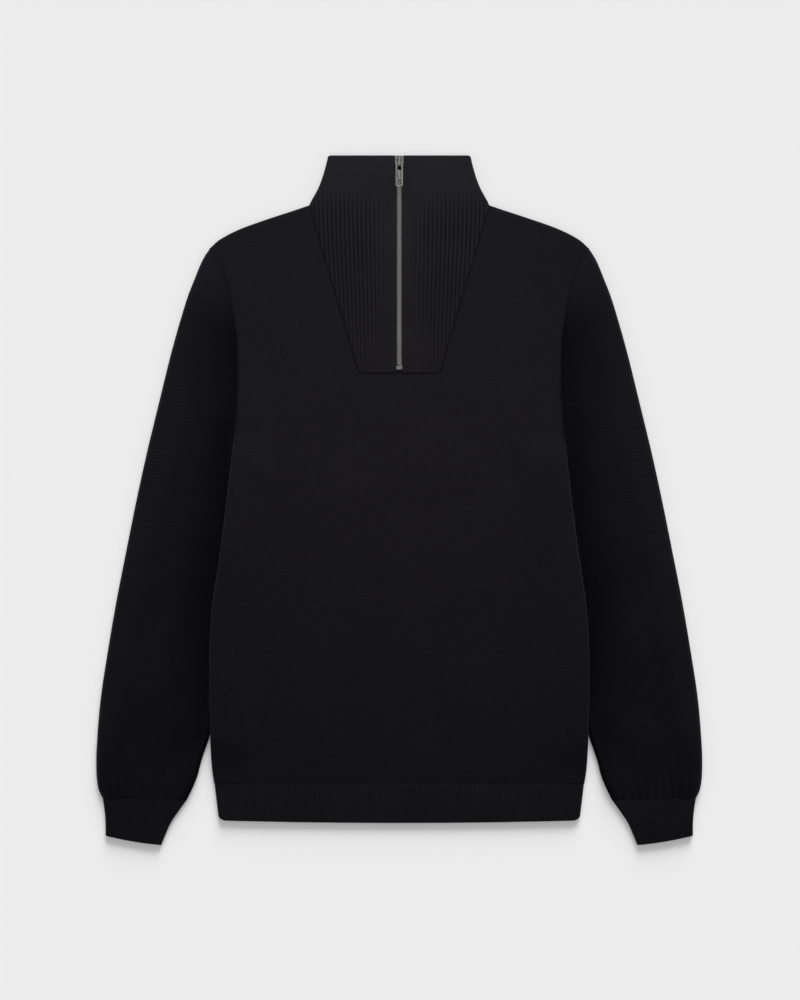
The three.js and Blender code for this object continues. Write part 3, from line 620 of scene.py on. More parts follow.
@dataclass(frozen=True)
class Cut:
    """Sizes and outlines that all the pieces of cloth share."""

    seam_gap: float = 0.06
    knit_wall: float = 2.4
    rib_wall: float = 1.75
    rib_relief: float = 1.2
    band_wall: float = 2.35
    band_relief: float = 0.6
    half_thickness: float = 3.0
    fold_reach: float = 3.8
    body_swell: float = 0.7
    sleeve_swell: float = 0.9
    blouse: float = 1.1
    neck_x: float = 101.4
    neck_height: float = 694.0
    neck_dip: float = 5.0
    shoulder_height: float = 646.0
    armpit_height: float = 440.0
    placket_x: float = 45.2
    placket_height: float = 505.0
    placket_radius: float = 3.5
    hem_top: float = 44.0
    seam_round: float = 1.9
    seam_dip: float = 1.15
    band_dip: float = 0.5
    # Painted shade in the seam grooves, and the heights where it fades out near the shoulder.
    seam_shade: float = 0.3
    seam_fade: tuple[float, float] = (600.0, 630.0)
    fold_span: tuple[float, float] = (-14.0, 6.0)
    placket_slant: float = math.radians(17)
    climb_rise: float = 6.3
    climb_side: tuple[float, float] = (22.0, 64.0)
    climb_low: tuple[float, float] = (55.0, 98.0)
    climb_high: tuple[float, float] = (398.0, 440.0)
    angles: tuple[float, ...] = (90, 76, 62, 48, 34, 18, 0)
    body_edge: Profile = Profile(
        (44, 208), (60, 210.4), (90, 212), (140, 213), (190, 213.2), (240, 210.4), (305, 201.1),
        (375, 192.3), (440, 184.8), (480, 181.9), (510, 181.7), (545, 182.9), (577, 187.9),
        (600, 192.4), (627, 201.4), (646, 212.6),
    )
    shoulder_line: Profile = Profile(
        (101.4, 694), (116, 689), (150, 677.8), (180.6, 666.6), (202.5, 655), (212.6, 646),
    )
    sleeve_outer: Profile = Profile(
        (646, 212.65), (633, 221), (610, 230.6), (588, 239), (532, 255.3), (475, 269.4), (419, 283),
        (363, 295.3), (307, 306.6), (250, 317.8), (194, 327.4), (138, 335.8), (82, 340.3),
        (59, 340.5), (47, 339.7), (36, 337.6), (28, 333.5),
    )
    sleeve_inner: Profile = Profile(
        (440, 184.85), (430, 185.95), (420, 187.05), (410, 187.8), (400, 187.7), (385, 187.2),
        (370, 187), (330, 185), (280, 190), (239, 196.5), (188, 202.5),
        (138, 207.5), (98, 213), (86, 217), (69, 222.7), (53, 226.8), (40, 232), (26, 238.8),
    )
    collar_edge: Profile = Profile(
        (694, 101.2), (700, 98.4), (712, 91.7), (723, 87.2), (734, 83.8), (745, 81), (750, 80.2),
    )
    collar_corner: float = 2.6

    def foldness(self, height: np.ndarray | float) -> np.ndarray:
        """One where the side is a fold, nought where it is an open armhole edge."""
        first, last = self.fold_span
        return 1.0 - smooth(height, self.armpit_height + first, self.armpit_height + last)

    def climb(self, inset: np.ndarray, height: np.ndarray | float) -> np.ndarray:
        """How far the side of the body lies above the surface, over the tucked sleeve."""
        beside = 1 - smooth(inset, *self.climb_side)
        below = 1 - smooth(height, *self.climb_high)
        return self.climb_rise * beside * below * smooth(height, *self.climb_low)

    def collar_side(self, height: float) -> float:
        """Half width of the collar, rounded at its upper corner."""
        short = float(np.clip(1 - (COLLAR_TOP - height) / self.collar_corner, 0, 1))
        return float(self.collar_edge(height)) - self.collar_corner * (1 - math.sqrt(1 - short**2))

    def placket_edge(self, height: np.ndarray | float) -> np.ndarray:
        """Half width of the placket, rounded at its lower corner."""
        part = (np.asarray(height, dtype=float) - self.placket_height) / (
            self.neck_height - self.placket_height
        )
        short = np.clip(1 - (np.asarray(height) - self.placket_height) / self.placket_radius, 0, 1)
        corner = self.placket_radius * (1 - np.sqrt(1 - short**2))
        return mix(self.placket_x, self.neck_x, part) - corner

    def dip(self, distance: np.ndarray | float) -> np.ndarray:
        """How far a wall's face rolls down towards a seam."""
        near = np.clip(1.0 - np.asarray(distance, dtype=float) / self.seam_round, 0.0, 1.0)
        return self.seam_dip * (1.0 - np.sqrt(1.0 - near**2))

    def hollow(self, distance: np.ndarray | float) -> np.ndarray:
        """Painted shade at a distance from a seam: a colour factor, darkest in the seam's groove."""
        return mix(self.seam_shade, 1.0, smooth(distance, 0.2, self.seam_round))

    def section(
        self, half: np.ndarray | float, fold: np.ndarray | float, wall: float | None = None
    ) -> tuple[np.ndarray, np.ndarray, np.ndarray, np.ndarray]:
        """A wall round a fold, one value for each of the angles.

        Args:
            half: Half the thickness of the folded cloth beside the fold.
            fold: One at a fold, nought at an open edge.
            wall: Thickness of the cloth, if it isn't that of the knit.

        Returns:
            Inset and rise of the outer face, then of the inner face.
        """
        wall = self.knit_wall if wall is None else wall
        turn = np.radians(np.array(self.angles))
        inset = self.fold_reach * (1 - np.cos(turn))
        inner = self.fold_reach - (self.fold_reach - wall) * np.cos(turn)
        plain = self.half_thickness
        return (
            inset,
            mix(plain, half * np.sin(turn), fold),
            mix(inset, inner, fold),
            mix(plain - wall, (half - wall) * np.sin(turn), fold),
        )


class Side(Enum):
    """Which face of the garment a body panel is."""

    FRONT = 1
    BACK = -1


@dataclass
class BodyPanel:
    """The front or the back: a wide lower part and two yokes beside the neck."""

    cut: Cut
    side: Side
    slot: Slot = Slot.BODY
    flat_margin: float = 64.0
    notch_column: float = 0.385
    creases: tuple[Crease, ...] = ()
    swell_curve: Profile = Profile((0, 1), (12, 1), (24, 0.65), (44, 0.15), (64, 0))
    edge_insets: tuple[float, ...] = (57, 50, 44, 38, 32, 27, 22, 18, 14.5, 11.5, 9, 7, 5.2)
    seam_steps: tuple[float, ...] = (0, 0.15, 0.4, 0.9, 1.6, 2.8, 5)
    yoke_steps: tuple[float, ...] = (0.3, 0.7, 1.3, 2.1, 3.0, 4.0, 6.0, 9.0)
    fold_steps: tuple[float, ...] = (15, 11.5, 9, 7, 5.2)
    neck_parts: tuple[float, ...] = (0, 0.15, 0.3, 0.45, 0.6, 0.75, 0.88, 0.96)
    flats: np.ndarray = field(init=False)
    heights: np.ndarray = field(init=False)

    def __post_init__(self) -> None:
        """Works out the columns and lines of the lower part."""
        notch = self.notch_column
        close = notch + np.array([0, 0.0015, 0.004, 0.008, 0.015, 0.028])
        self.flats = np.concatenate([np.linspace(0, notch, 9)[:-1], close, np.linspace(0.45, 1, 11)])
        self.notch = int(np.argmin(abs(self.flats - notch)))
        low = self.cut.hem_top + self.cut.seam_gap
        high = self.cut.placket_height - self.cut.seam_gap / 2
        near = np.array(self.seam_steps)
        middle = np.linspace(low + 10, high - 10, 70)
        self.heights = np.concatenate([low + near, middle, high - near[::-1]])

    def distance_to_placket(self, x: np.ndarray, height: np.ndarray | float) -> np.ndarray:
        """Distance from the placket's outline, outside it."""
        cut = self.cut
        below = np.maximum(cut.placket_height - np.asarray(height, dtype=float), 0)
        corner = cut.placket_x - cut.placket_radius
        beside = np.where(below > 0, np.maximum(x - corner, 0), 0)
        low = np.hypot(beside, below)
        above = np.maximum(x - cut.placket_edge(height), 0) * math.cos(cut.placket_slant)
        return np.where(below > 0, low, above)

    def add(
        self, wall: Wall, x: np.ndarray, height: np.ndarray | float, rise: np.ndarray,
        inset: np.ndarray, dips: np.ndarray | float, along: np.ndarray,
        shade: np.ndarray | float = 1.0,
    ) -> Row:
        """Adds one line of a face, with climb, creases and seams."""
        cut = self.cut
        sign = self.side.value
        level = cut.half_thickness + cut.climb(inset, height)
        soft = sum((c.lift(x, np.asarray(height, dtype=float)) for c in self.creases), np.zeros_like(x))
        rise = np.maximum(rise - dips, cut.seam_gap / 2)
        return wall.row(x, height, level + sign * rise + soft * smooth(inset, 0, 12), along, shade=shade)

    def lower_line(self, wall: Wall, height: float) -> tuple[Row, Row]:
        """One cross line below the placket, from the centre line to the side."""
        cut = self.cut
        half = float(cut.body_edge(height))
        fold = float(cut.foldness(height))
        swell = cut.body_swell * fold if self.side is Side.FRONT else 0.0
        flat = self.flats * (half - self.flat_margin)
        corner = float(cut.placket_edge(cut.placket_height)) + cut.seam_gap / 2
        squeeze = float(smooth(height, cut.placket_height - 30, cut.placket_height - cut.seam_gap / 2))
        notch_x = flat[self.notch]
        inside = flat * corner / notch_x
        outside = corner + (flat - notch_x) * (flat[-1] - corner) / (flat[-1] - notch_x)
        flat = mix(flat, np.where(flat <= notch_x, inside, outside), squeeze)
        sides = half - np.array(self.edge_insets)
        face = np.concatenate([flat, sides])
        outer_inset, outer_rise, inner_inset, inner_rise = cut.section(cut.half_thickness + swell, fold)
        outer_x = np.concatenate([face, half - outer_inset])
        inner_x = np.concatenate([face, half - inner_inset])
        face_rise = cut.half_thickness + swell * self.swell_curve(half - face)
        rise = np.concatenate([face_rise, outer_rise])
        under = np.concatenate([face_rise - cut.knit_wall, inner_rise])
        along = np.arange(len(rise), dtype=float)
        hem_dip = self.cut.band_dip * cut.dip(height - cut.hem_top)
        dips = np.maximum(cut.dip(half - outer_x) * (1 - fold), hem_dip)
        # Painted shade in the grooves of the armhole and placket seams.
        shade = mix(cut.hollow(half - outer_x), 1.0, fold)
        if self.side is Side.FRONT:
            away = self.distance_to_placket(outer_x, height)
            dips = np.maximum(dips, cut.dip(away))
            shade = np.minimum(shade, cut.hollow(away))
        outer = self.add(wall, outer_x, height, rise, half - outer_x, dips, along, shade)
        inner = self.add(wall, inner_x, height, under, half - inner_x, 0.0, along)
        return outer, inner

    def yoke_place(self, across: np.ndarray, up: float) -> tuple[np.ndarray, np.ndarray]:
        """Plan of the yoke: across from the placket to the armhole, up to the shoulder."""
        cut = self.cut
        gap = cut.seam_gap / 2
        low = cut.placket_height - gap

        def seam(t: float) -> np.ndarray:
            height = mix(low, cut.neck_height - gap, t)
            return np.array([cut.placket_edge(height) + gap, height])

        def armhole(t: float) -> np.ndarray:
            height = mix(low, cut.shoulder_height, t)
            return np.array([cut.body_edge(height), height])

        first, last = cut.neck_x + gap, float(cut.body_edge(cut.shoulder_height))
        shoulder_x = mix(first, last, across)
        shoulder = np.array([shoulder_x, cut.shoulder_line(shoulder_x)])
        top_start = np.array([first, float(cut.shoulder_line(first))])
        top_end = np.array([last, float(cut.shoulder_line(last))])
        s = across[None, :]
        bottom = seam(0)[:, None] * (1 - s) + armhole(0)[:, None] * s
        top = top_start[:, None] * (1 - s) + top_end[:, None] * s
        sides = seam(up)[:, None] * (1 - s) + armhole(up)[:, None] * s
        spot = sides + bottom * (1 - up) + shoulder * up - (bottom * (1 - up) + top * up)
        return spot[0], spot[1]

    def yoke_lines(self, wall: Wall, across: np.ndarray) -> tuple[list[Row], list[Row]]:
        """Cross lines of the yoke above the placket's lower end, up to the shoulder fold."""
        cut = self.cut
        length = cut.shoulder_height - cut.placket_height
        front = self.side is Side.FRONT
        swell = cut.body_swell if front else 0.0
        near = np.array(self.yoke_steps) / length
        ups = np.concatenate([near, np.linspace(0.1, 0.86, 20)])
        closing = 1 - np.array(self.fold_steps) / length
        rises = cut.half_thickness + swell * smooth(np.concatenate([ups, closing]), 0.5, 1)
        section = cut.section(cut.half_thickness + swell, 1.0)
        outer_ups = np.concatenate([ups, closing, 1 - section[0] / length])
        inner_ups = np.concatenate([ups, closing, 1 - section[2] / length])
        outer_rises = np.concatenate([rises, section[1]])
        inner_rises = np.concatenate([rises - cut.knit_wall, section[3]])
        along = np.arange(len(across), dtype=float) + self.notch
        far = np.full_like(across, self.flat_margin)
        outer: list[Row] = []
        inner: list[Row] = []
        for up, rise in zip(outer_ups, outer_rises):
            x, height = self.yoke_place(across, float(up))
            dips = cut.dip(cut.body_edge(height) - x)
            # Painted shade in the seam grooves, fading out near the shoulder.
            shade = mix(cut.hollow(cut.body_edge(height) - x), 1.0, smooth(height, *cut.seam_fade))
            if front:
                away = self.distance_to_placket(x, height)
                dips = np.maximum(dips, cut.dip(away))
                shade = np.minimum(shade, cut.hollow(away))
            outer.append(self.add(wall, x, height, np.full_like(x, rise), far, dips, along, shade))
        for up, rise in zip(inner_ups, inner_rises):
            x, height = self.yoke_place(across, float(up))
            inner.append(self.add(wall, x, height, np.full_like(x, rise), far, 0.0, along))
        return outer, inner

    def neck_lines(self, wall: Wall, yoke: list[Row], outside: bool) -> list[Row]:
        """Lines of the back between the yokes, up to the back neck seam."""
        cut = self.cut
        points = np.concatenate(wall.points)
        parts = np.array(self.neck_parts)
        made: list[Row] = []
        for line in yoke:
            edge_x, edge_y, _ = points[line.ids[0]]
            height = edge_y + MID_HEIGHT
            progress = smooth(height, cut.placket_height, cut.neck_height)
            drop = cut.neck_dip * progress * (1 - parts**2)
            rise = cut.half_thickness - (0.0 if outside else cut.knit_wall)
            if outside:
                rise = rise - cut.dip(cut.neck_height - height)
            z = np.full_like(parts, cut.half_thickness) - rise
            row = wall.row(edge_x * parts, height - drop, z, parts * self.notch)
            made.append(joined(row, Row(line.ids[:1], line.along[:1])))
        return made

    def build(self, name: str, material: bpy.types.Material) -> bpy.types.Object:
        """Makes the whole panel."""
        wall = Wall()
        outer: list[Row] = []
        inner: list[Row] = []
        for height in self.heights:
            line = self.lower_line(wall, float(height))
            outer.append(line[0])
            inner.append(line[1])
        wall.sides(outer, inner)
        wall.close_first(outer, inner)
        wall.close_ends(outer, inner)
        points = np.concatenate(wall.points)
        start = points[outer[-1].ids[self.notch], 0]
        width = points[outer[-1].ids[-1], 0] - start
        across = np.clip((points[outer[-1].ids[self.notch:], 0] - start) / width, 0, 1)
        yoke_outer, yoke_inner = self.yoke_lines(wall, across)
        neck_outer = [outer[-1].part(self.notch, None), *yoke_outer]
        neck_inner = [inner[-1].part(self.notch, None), *yoke_inner]
        wall.sides(neck_outer, neck_inner)
        wall.close_last(neck_outer, neck_inner)
        wall.close_ends(neck_outer, neck_inner)
        middle = (outer[-1].part(0, self.notch + 1), inner[-1].part(0, self.notch + 1))
        if self.side is Side.FRONT:
            wall.close_starts(neck_outer, neck_inner)
            wall.band(*middle)
        else:
            back_outer = [middle[0], *self.neck_lines(wall, yoke_outer, True)]
            back_inner = [middle[1], *self.neck_lines(wall, yoke_inner, False)]
            wall.sides(back_outer, back_inner)
            wall.close_last(back_outer, back_inner)
        return wall.piece(name, material, both=True, turned=self.side is Side.BACK)


def rib_level(phase: np.ndarray) -> np.ndarray:
    """Height of a rib's rounded crest between two narrow valleys, for a phase in turns."""
    return np.abs(np.sin(np.pi * phase)) ** RIB_CURVE


@dataclass
class Collar:
    """Collar and placket in one ribbed piece, open at the zip."""

    cut: Cut
    slot: Slot = Slot.RIB
    zip_half: float = 4.0
    strip: float = 5.0
    pitch: float = 4.8
    steps: int = 8
    roll_length: float = 12.0
    roll_drop: float = 2.2
    roll_slope: float = 0.11
    low_pitch: float = 4.3
    fade_top: float = 0.85
    fade_zip: float = 0.4
    fade_foot: float = 0.6
    # Painted shade: how dark the rib valleys and the placket's foot are painted.
    valley_shade: float = 0.72
    foot_shade: float = 0.83
    valley_curve: float = 0.8
    fold_gap: float = 0.05
    zip_dip: float = 0.7
    spread_span: tuple[float, float] = (520.0, 700.0)
    zip_span: tuple[float, float] = (12.0, 46.0)
    foot_span: tuple[float, float] = (520.0, 600.0)
    top_span: tuple[float, float] = (676.0, 722.0)
    dark_span: tuple[float, float] = (560.0, 690.0)
    edge_steps: tuple[float, ...] = (0, 0.12, 0.35, 0.8, 1.5, 2.5, 3.6, 4.4)
    seam_steps: tuple[float, ...] = (0, 0.15, 0.4, 0.9, 1.6, 2.5, 3.5, 5.5)
    neck_steps: tuple[float, ...] = (0, 0.4, 1, 2.2)

    @property
    def start(self) -> float:
        """Place of the first rib's edge."""
        return self.zip_half + self.strip

    def spread(self, height: float) -> float:
        """How far the ribs have opened out, one where they are widest."""
        return float(mix(self.low_pitch / self.pitch, 1.0, smooth(height, *self.spread_span)))

    def rib_place(self, x: np.ndarray, height: float) -> np.ndarray:
        """Place on the ribbed cloth before it is stretched."""
        return (x - self.start) / self.spread(height) + self.start

    def strength(self, x: np.ndarray, height: float) -> np.ndarray:
        """How far the ribs stand out: less beside the zip, at the placket's foot and near the top."""
        beside = mix(self.fade_zip, 1.0, smooth(np.abs(x), *self.zip_span))
        foot = mix(self.fade_foot, 1.0, smooth(height, *self.foot_span))
        return beside * foot * mix(1.0, 1 - self.fade_top, smooth(height, *self.top_span))

    def shade(self, x: np.ndarray, height: float) -> np.ndarray:
        """Painted shade on the ribs: darker in their valleys and towards the placket's foot."""
        place_on = (self.rib_place(x, height) - self.start) / self.pitch
        depth = 1 - np.abs(np.sin(np.pi * place_on)) ** self.valley_curve
        valley = self.valley_shade * self.strength(x, height) * depth
        foot = mix(self.foot_shade, 1.0, smooth(height, *self.dark_span))
        return foot * (1 - np.where(place_on < -0.02, 0.0, valley))

    def rise(self, x: np.ndarray, height: float) -> np.ndarray:
        """Level of the ribs, or of the plain strip beside the zip."""
        cut = self.cut
        level = rib_level((self.rib_place(x, height) - self.start) / self.pitch)
        valley = cut.rib_relief * self.strength(x, height) * (1 - level)
        drop = (cut.knit_wall - cut.rib_wall - cut.rib_relief) + valley
        ribbed = smooth(x, self.start - 1.2, self.start + 0.3)
        return mix(cut.half_thickness, cut.half_thickness - drop, ribbed)

    def roll(self, height: float) -> float:
        """How far the upper face has rolled down near the top edge."""
        into = float(np.clip((height - COLLAR_TOP + self.roll_length) / self.roll_length, 0, 1))
        whole = self.roll_slope * self.roll_length
        slope = whole * into * float(smooth(into, 0, 0.25))
        return slope + (self.roll_drop - whole) * (1 - math.sqrt(1 - into**2))

    def flat_end(self, half: float) -> float:
        """Where the flat part of a cross line ends, just before its fold or seam."""
        return half - self.cut.fold_reach - self.fold_gap

    def columns(self, end: float, height: float) -> np.ndarray:
        """Places across, from the zip's edge to the end of the flat part, locked to the ribs."""
        edge = self.zip_half + np.array(self.edge_steps)
        last = self.rib_place(np.array([end]), height)[0]
        ribs = np.arange(self.start, last, self.pitch / self.steps)
        return np.concatenate([edge, (ribs - self.start) * self.spread(height) + self.start])

    def front_line(self, wall: Wall, height: float, wraps: bool) -> tuple[Row, Row, float]:
        """One cross line of the upper layer, from the zip to the seam or the fold."""
        cut = self.cut
        gap = cut.seam_gap / 2
        half = cut.collar_side(height) if wraps else float(cut.placket_edge(height)) - gap
        fold = 1.0 if wraps else float(smooth(height, cut.neck_height - 30, cut.neck_height))
        roll = self.roll(height)
        flat = self.columns(self.flat_end(half), height)
        level = self.rise(flat, height) - roll
        thin = roll * fold
        inset, rise, inner_inset, inner_rise = cut.section(
            cut.half_thickness - thin, fold, cut.knit_wall - thin
        )
        side = half - inset
        turn = np.sin(np.radians(np.array(cut.angles)))
        ribbed = (self.rise(side, height) - cut.half_thickness) * mix(1.0, turn, fold)
        bottom = cut.dip(height - cut.placket_height)
        x = np.concatenate([flat, side])
        dips = np.maximum(cut.dip((half - x) / math.cos(cut.placket_slant)) * (1 - fold), bottom)
        dips = np.maximum(dips, self.zip_dip * cut.dip(x - self.zip_half))
        z = np.concatenate([level, rise + ribbed]) - dips
        side_keys = SIDE_KEY + np.arange(len(side))
        keys = np.concatenate([self.rib_place(flat, height), side_keys])
        # Painted shade in the seam grooves, times the painted shade on the ribs.
        seams = np.minimum(
            mix(cut.hollow(half - x), 1.0, fold), cut.hollow(height - cut.placket_height)
        )
        cloth = (self.rib_place(x, height), np.full_like(x, height))
        shade = self.shade(x, height) * seams
        outer = wall.row(x, height, cut.half_thickness + z, keys, cloth, shade)
        coarse = np.linspace(self.zip_half, self.flat_end(half), 14)
        base = np.full_like(coarse, cut.half_thickness - cut.knit_wall)
        inner = wall.row(
            np.concatenate([coarse, half - inner_inset]), height,
            cut.half_thickness + np.concatenate([base, inner_rise]),
            np.concatenate([coarse, side_keys]),
        )
        return outer, inner, half

    def back_line(self, wall: Wall, height: float, half: float) -> tuple[Row, Row]:
        """One cross line of the lower layer, from the fold to the centre line."""
        cut = self.cut
        fade = cut.neck_dip * (1 - float(smooth(height, cut.neck_height, COLLAR_TOP)))
        inset, rise, inner_inset, inner_rise = cut.section(cut.half_thickness, 1.0)
        order = slice(-2, None, -1)
        columns = self.columns(self.flat_end(half), height)
        flat = np.append(columns[len(self.edge_steps):][::-1], 0.0)
        drop = cut.rib_relief * (1 - rib_level((flat - self.start) / self.pitch))
        seam = float(cut.dip(height - cut.neck_height))
        x = np.concatenate([(half - inset)[order], flat])
        z = np.concatenate([-rise[order], np.full_like(flat, -cut.half_thickness) + drop])
        side_keys = BACK_SIDE_KEY + np.arange(len(inset) - 1)
        keys = np.concatenate([side_keys, BACK_KEY - flat])
        lowered = height - fade * (1 - (x / half) ** 2)
        # The lower layer's rib valleys carry painted shade too.
        outer = wall.row(x, lowered, cut.half_thickness + z + seam, keys, shade=self.shade(x, height))
        coarse = np.linspace(self.flat_end(half), 0.0, 12)
        x = np.concatenate([(half - inner_inset)[order], coarse])
        level = np.full_like(coarse, cut.knit_wall - cut.half_thickness)
        z = np.concatenate([-inner_rise[order], level])
        keys = np.concatenate([side_keys, BACK_KEY - coarse])
        inner = wall.row(x, height - fade * (1 - (x / half) ** 2), cut.half_thickness + z, keys)
        return outer, inner

    def build(self, name: str, material: bpy.types.Material) -> bpy.types.Object:
        """Makes the whole collar with its placket."""
        cut = self.cut
        wall = Wall()
        gap = cut.seam_gap / 2
        low = cut.placket_height + gap
        near = low + np.array(self.seam_steps)
        heights = np.concatenate([near, np.linspace(low + 9, cut.neck_height - 5, 32)])
        roll = COLLAR_TOP - self.roll_length * (1 - np.sin(np.radians(np.linspace(0, 90, 9))))
        neck = cut.neck_height + gap
        wraps = np.concatenate([neck + np.array(self.neck_steps), np.linspace(700, 733, 7), roll])
        lines = [self.front_line(wall, float(h), False) for h in heights]
        fronts = [self.front_line(wall, float(h), True) for h in wraps]
        backs = [self.back_line(wall, float(h), line[2]) for h, line in zip(wraps, fronts)]
        outer = [line[0] for line in [*lines, fronts[0]]]
        inner = [line[1] for line in [*lines, fronts[0]]]
        wall.sides(outer, inner)
        wall.close_first(outer, inner)
        wall.close_starts(outer, inner)
        wall.close_ends(outer, inner)
        wrap_outer = [joined(front[0], back[0]) for front, back in zip(fronts, backs)]
        wrap_inner = [joined(front[1], back[1]) for front, back in zip(fronts, backs)]
        wall.sides(wrap_outer, wrap_inner)
        wall.close_starts(wrap_outer, wrap_inner)
        wall.close_last(wrap_outer, wrap_inner)
        first_inner = joined(fronts[0][1].part(-1, None), backs[0][1])
        first_outer = joined(fronts[0][0].part(-1, None), backs[0][0])
        wall.band(first_inner, first_outer)
        return wall.piece(name, material, both=True)


@dataclass
class Hem:
    """Ribbed band round the body, a flattened tube."""

    cut: Cut
    slot: Slot = Slot.RIB
    top_half: float = 207.6
    low_half: float = 203.4
    corner: float = 9.0
    bow: float = 2.8
    pitch: float = 5.8
    steps: int = 8
    # How dark the painted shade makes the rib valleys.
    valley_shade: float = 0.18

    def low_edge(self, part: np.ndarray) -> np.ndarray:
        """Height of the lower edge, bowed and rounded at its corners."""
        short = np.clip(1 - (1 - part) * self.low_half / self.corner, 0, 1)
        return self.bow * part**2 + (self.corner - self.bow) * (1 - np.sqrt(1 - short**2))

    def line(self, wall: Wall, t: float) -> tuple[Row, Row]:
        """One cross line round the tube, from the centre of its front to that of its back."""
        cut = self.cut
        width = float(mix(self.low_half, self.top_half, t))
        stretch = width - cut.fold_reach
        ribs = round(self.top_half / self.pitch)
        phase = np.arange(0, ribs * self.steps) / self.steps
        flat = phase * stretch / ribs
        relief = cut.band_relief * rib_level(phase)
        inset, rise, inner_inset, inner_rise = cut.section(cut.half_thickness, 1.0)
        depth = (cut.hem_top - self.bow) * t
        seam_dip = cut.band_dip * float(cut.dip(cut.hem_top - self.bow - depth))
        dips = max(float(cut.dip(depth)), seam_dip)
        valley = cut.half_thickness - cut.knit_wall + cut.band_wall
        back = slice(-2, None, -1)
        x = np.concatenate([flat, width - inset, (width - inset)[back], flat[::-1]])
        z = np.concatenate([
            valley + relief - dips,
            rise - dips * rise / cut.half_thickness,
            (dips * rise / cut.half_thickness - rise)[back],
            (cut.band_relief - relief + dips - cut.half_thickness)[::-1],
        ])
        turns = np.arange(len(inset))
        sides = [2.0 + turns / 10, 3.0 + turns[:-1] / 10]
        keys = np.concatenate([flat / stretch, *sides, 5.0 - flat[::-1] / stretch])
        across = np.minimum(x, stretch) / stretch * ribs * self.pitch
        # Painted shade in the rib valleys.
        valleys = self.valley_shade * (1 - rib_level(phase))
        shade = 1 - np.concatenate([valleys, np.zeros(2 * len(turns) - 1), valleys[::-1]])
        height = mix(self.low_edge(x / width), cut.hem_top, t)
        outer = wall.row(x, height, cut.half_thickness + z, keys, (across, height), shade)
        coarse = np.linspace(0, stretch * 0.995, 30)
        x = np.concatenate([coarse, width - inner_inset, (width - inner_inset)[back], coarse[::-1]])
        base = np.full_like(coarse, cut.half_thickness - cut.knit_wall)
        z = np.concatenate([base, inner_rise, -inner_rise[back], -base])
        keys = np.concatenate([coarse / stretch, *sides, 5.0 - coarse[::-1] / stretch])
        inner = wall.row(x, mix(self.low_edge(x / width), cut.hem_top, t), cut.half_thickness + z, keys)
        return outer, inner

    def build(self, name: str, material: bpy.types.Material) -> bpy.types.Object:
        """Makes the band."""
        wall = Wall()
        places = np.concatenate([BAND_STEPS, np.linspace(0.12, 0.88, 6), 1 - BAND_STEPS[::-1]])
        lines = [self.line(wall, float(t)) for t in places]
        outer = [line[0] for line in lines]
        inner = [line[1] for line in lines]
        wall.sides(outer, inner)
        wall.close_first(outer, inner)
        wall.close_last(outer, inner)
        return wall.piece(name, material, both=True)


Plan = Callable[[np.ndarray, float], tuple[np.ndarray, np.ndarray]]
Level = Callable[[np.ndarray, float], np.ndarray]
Block = tuple[np.ndarray, list[tuple[int, ...]]]


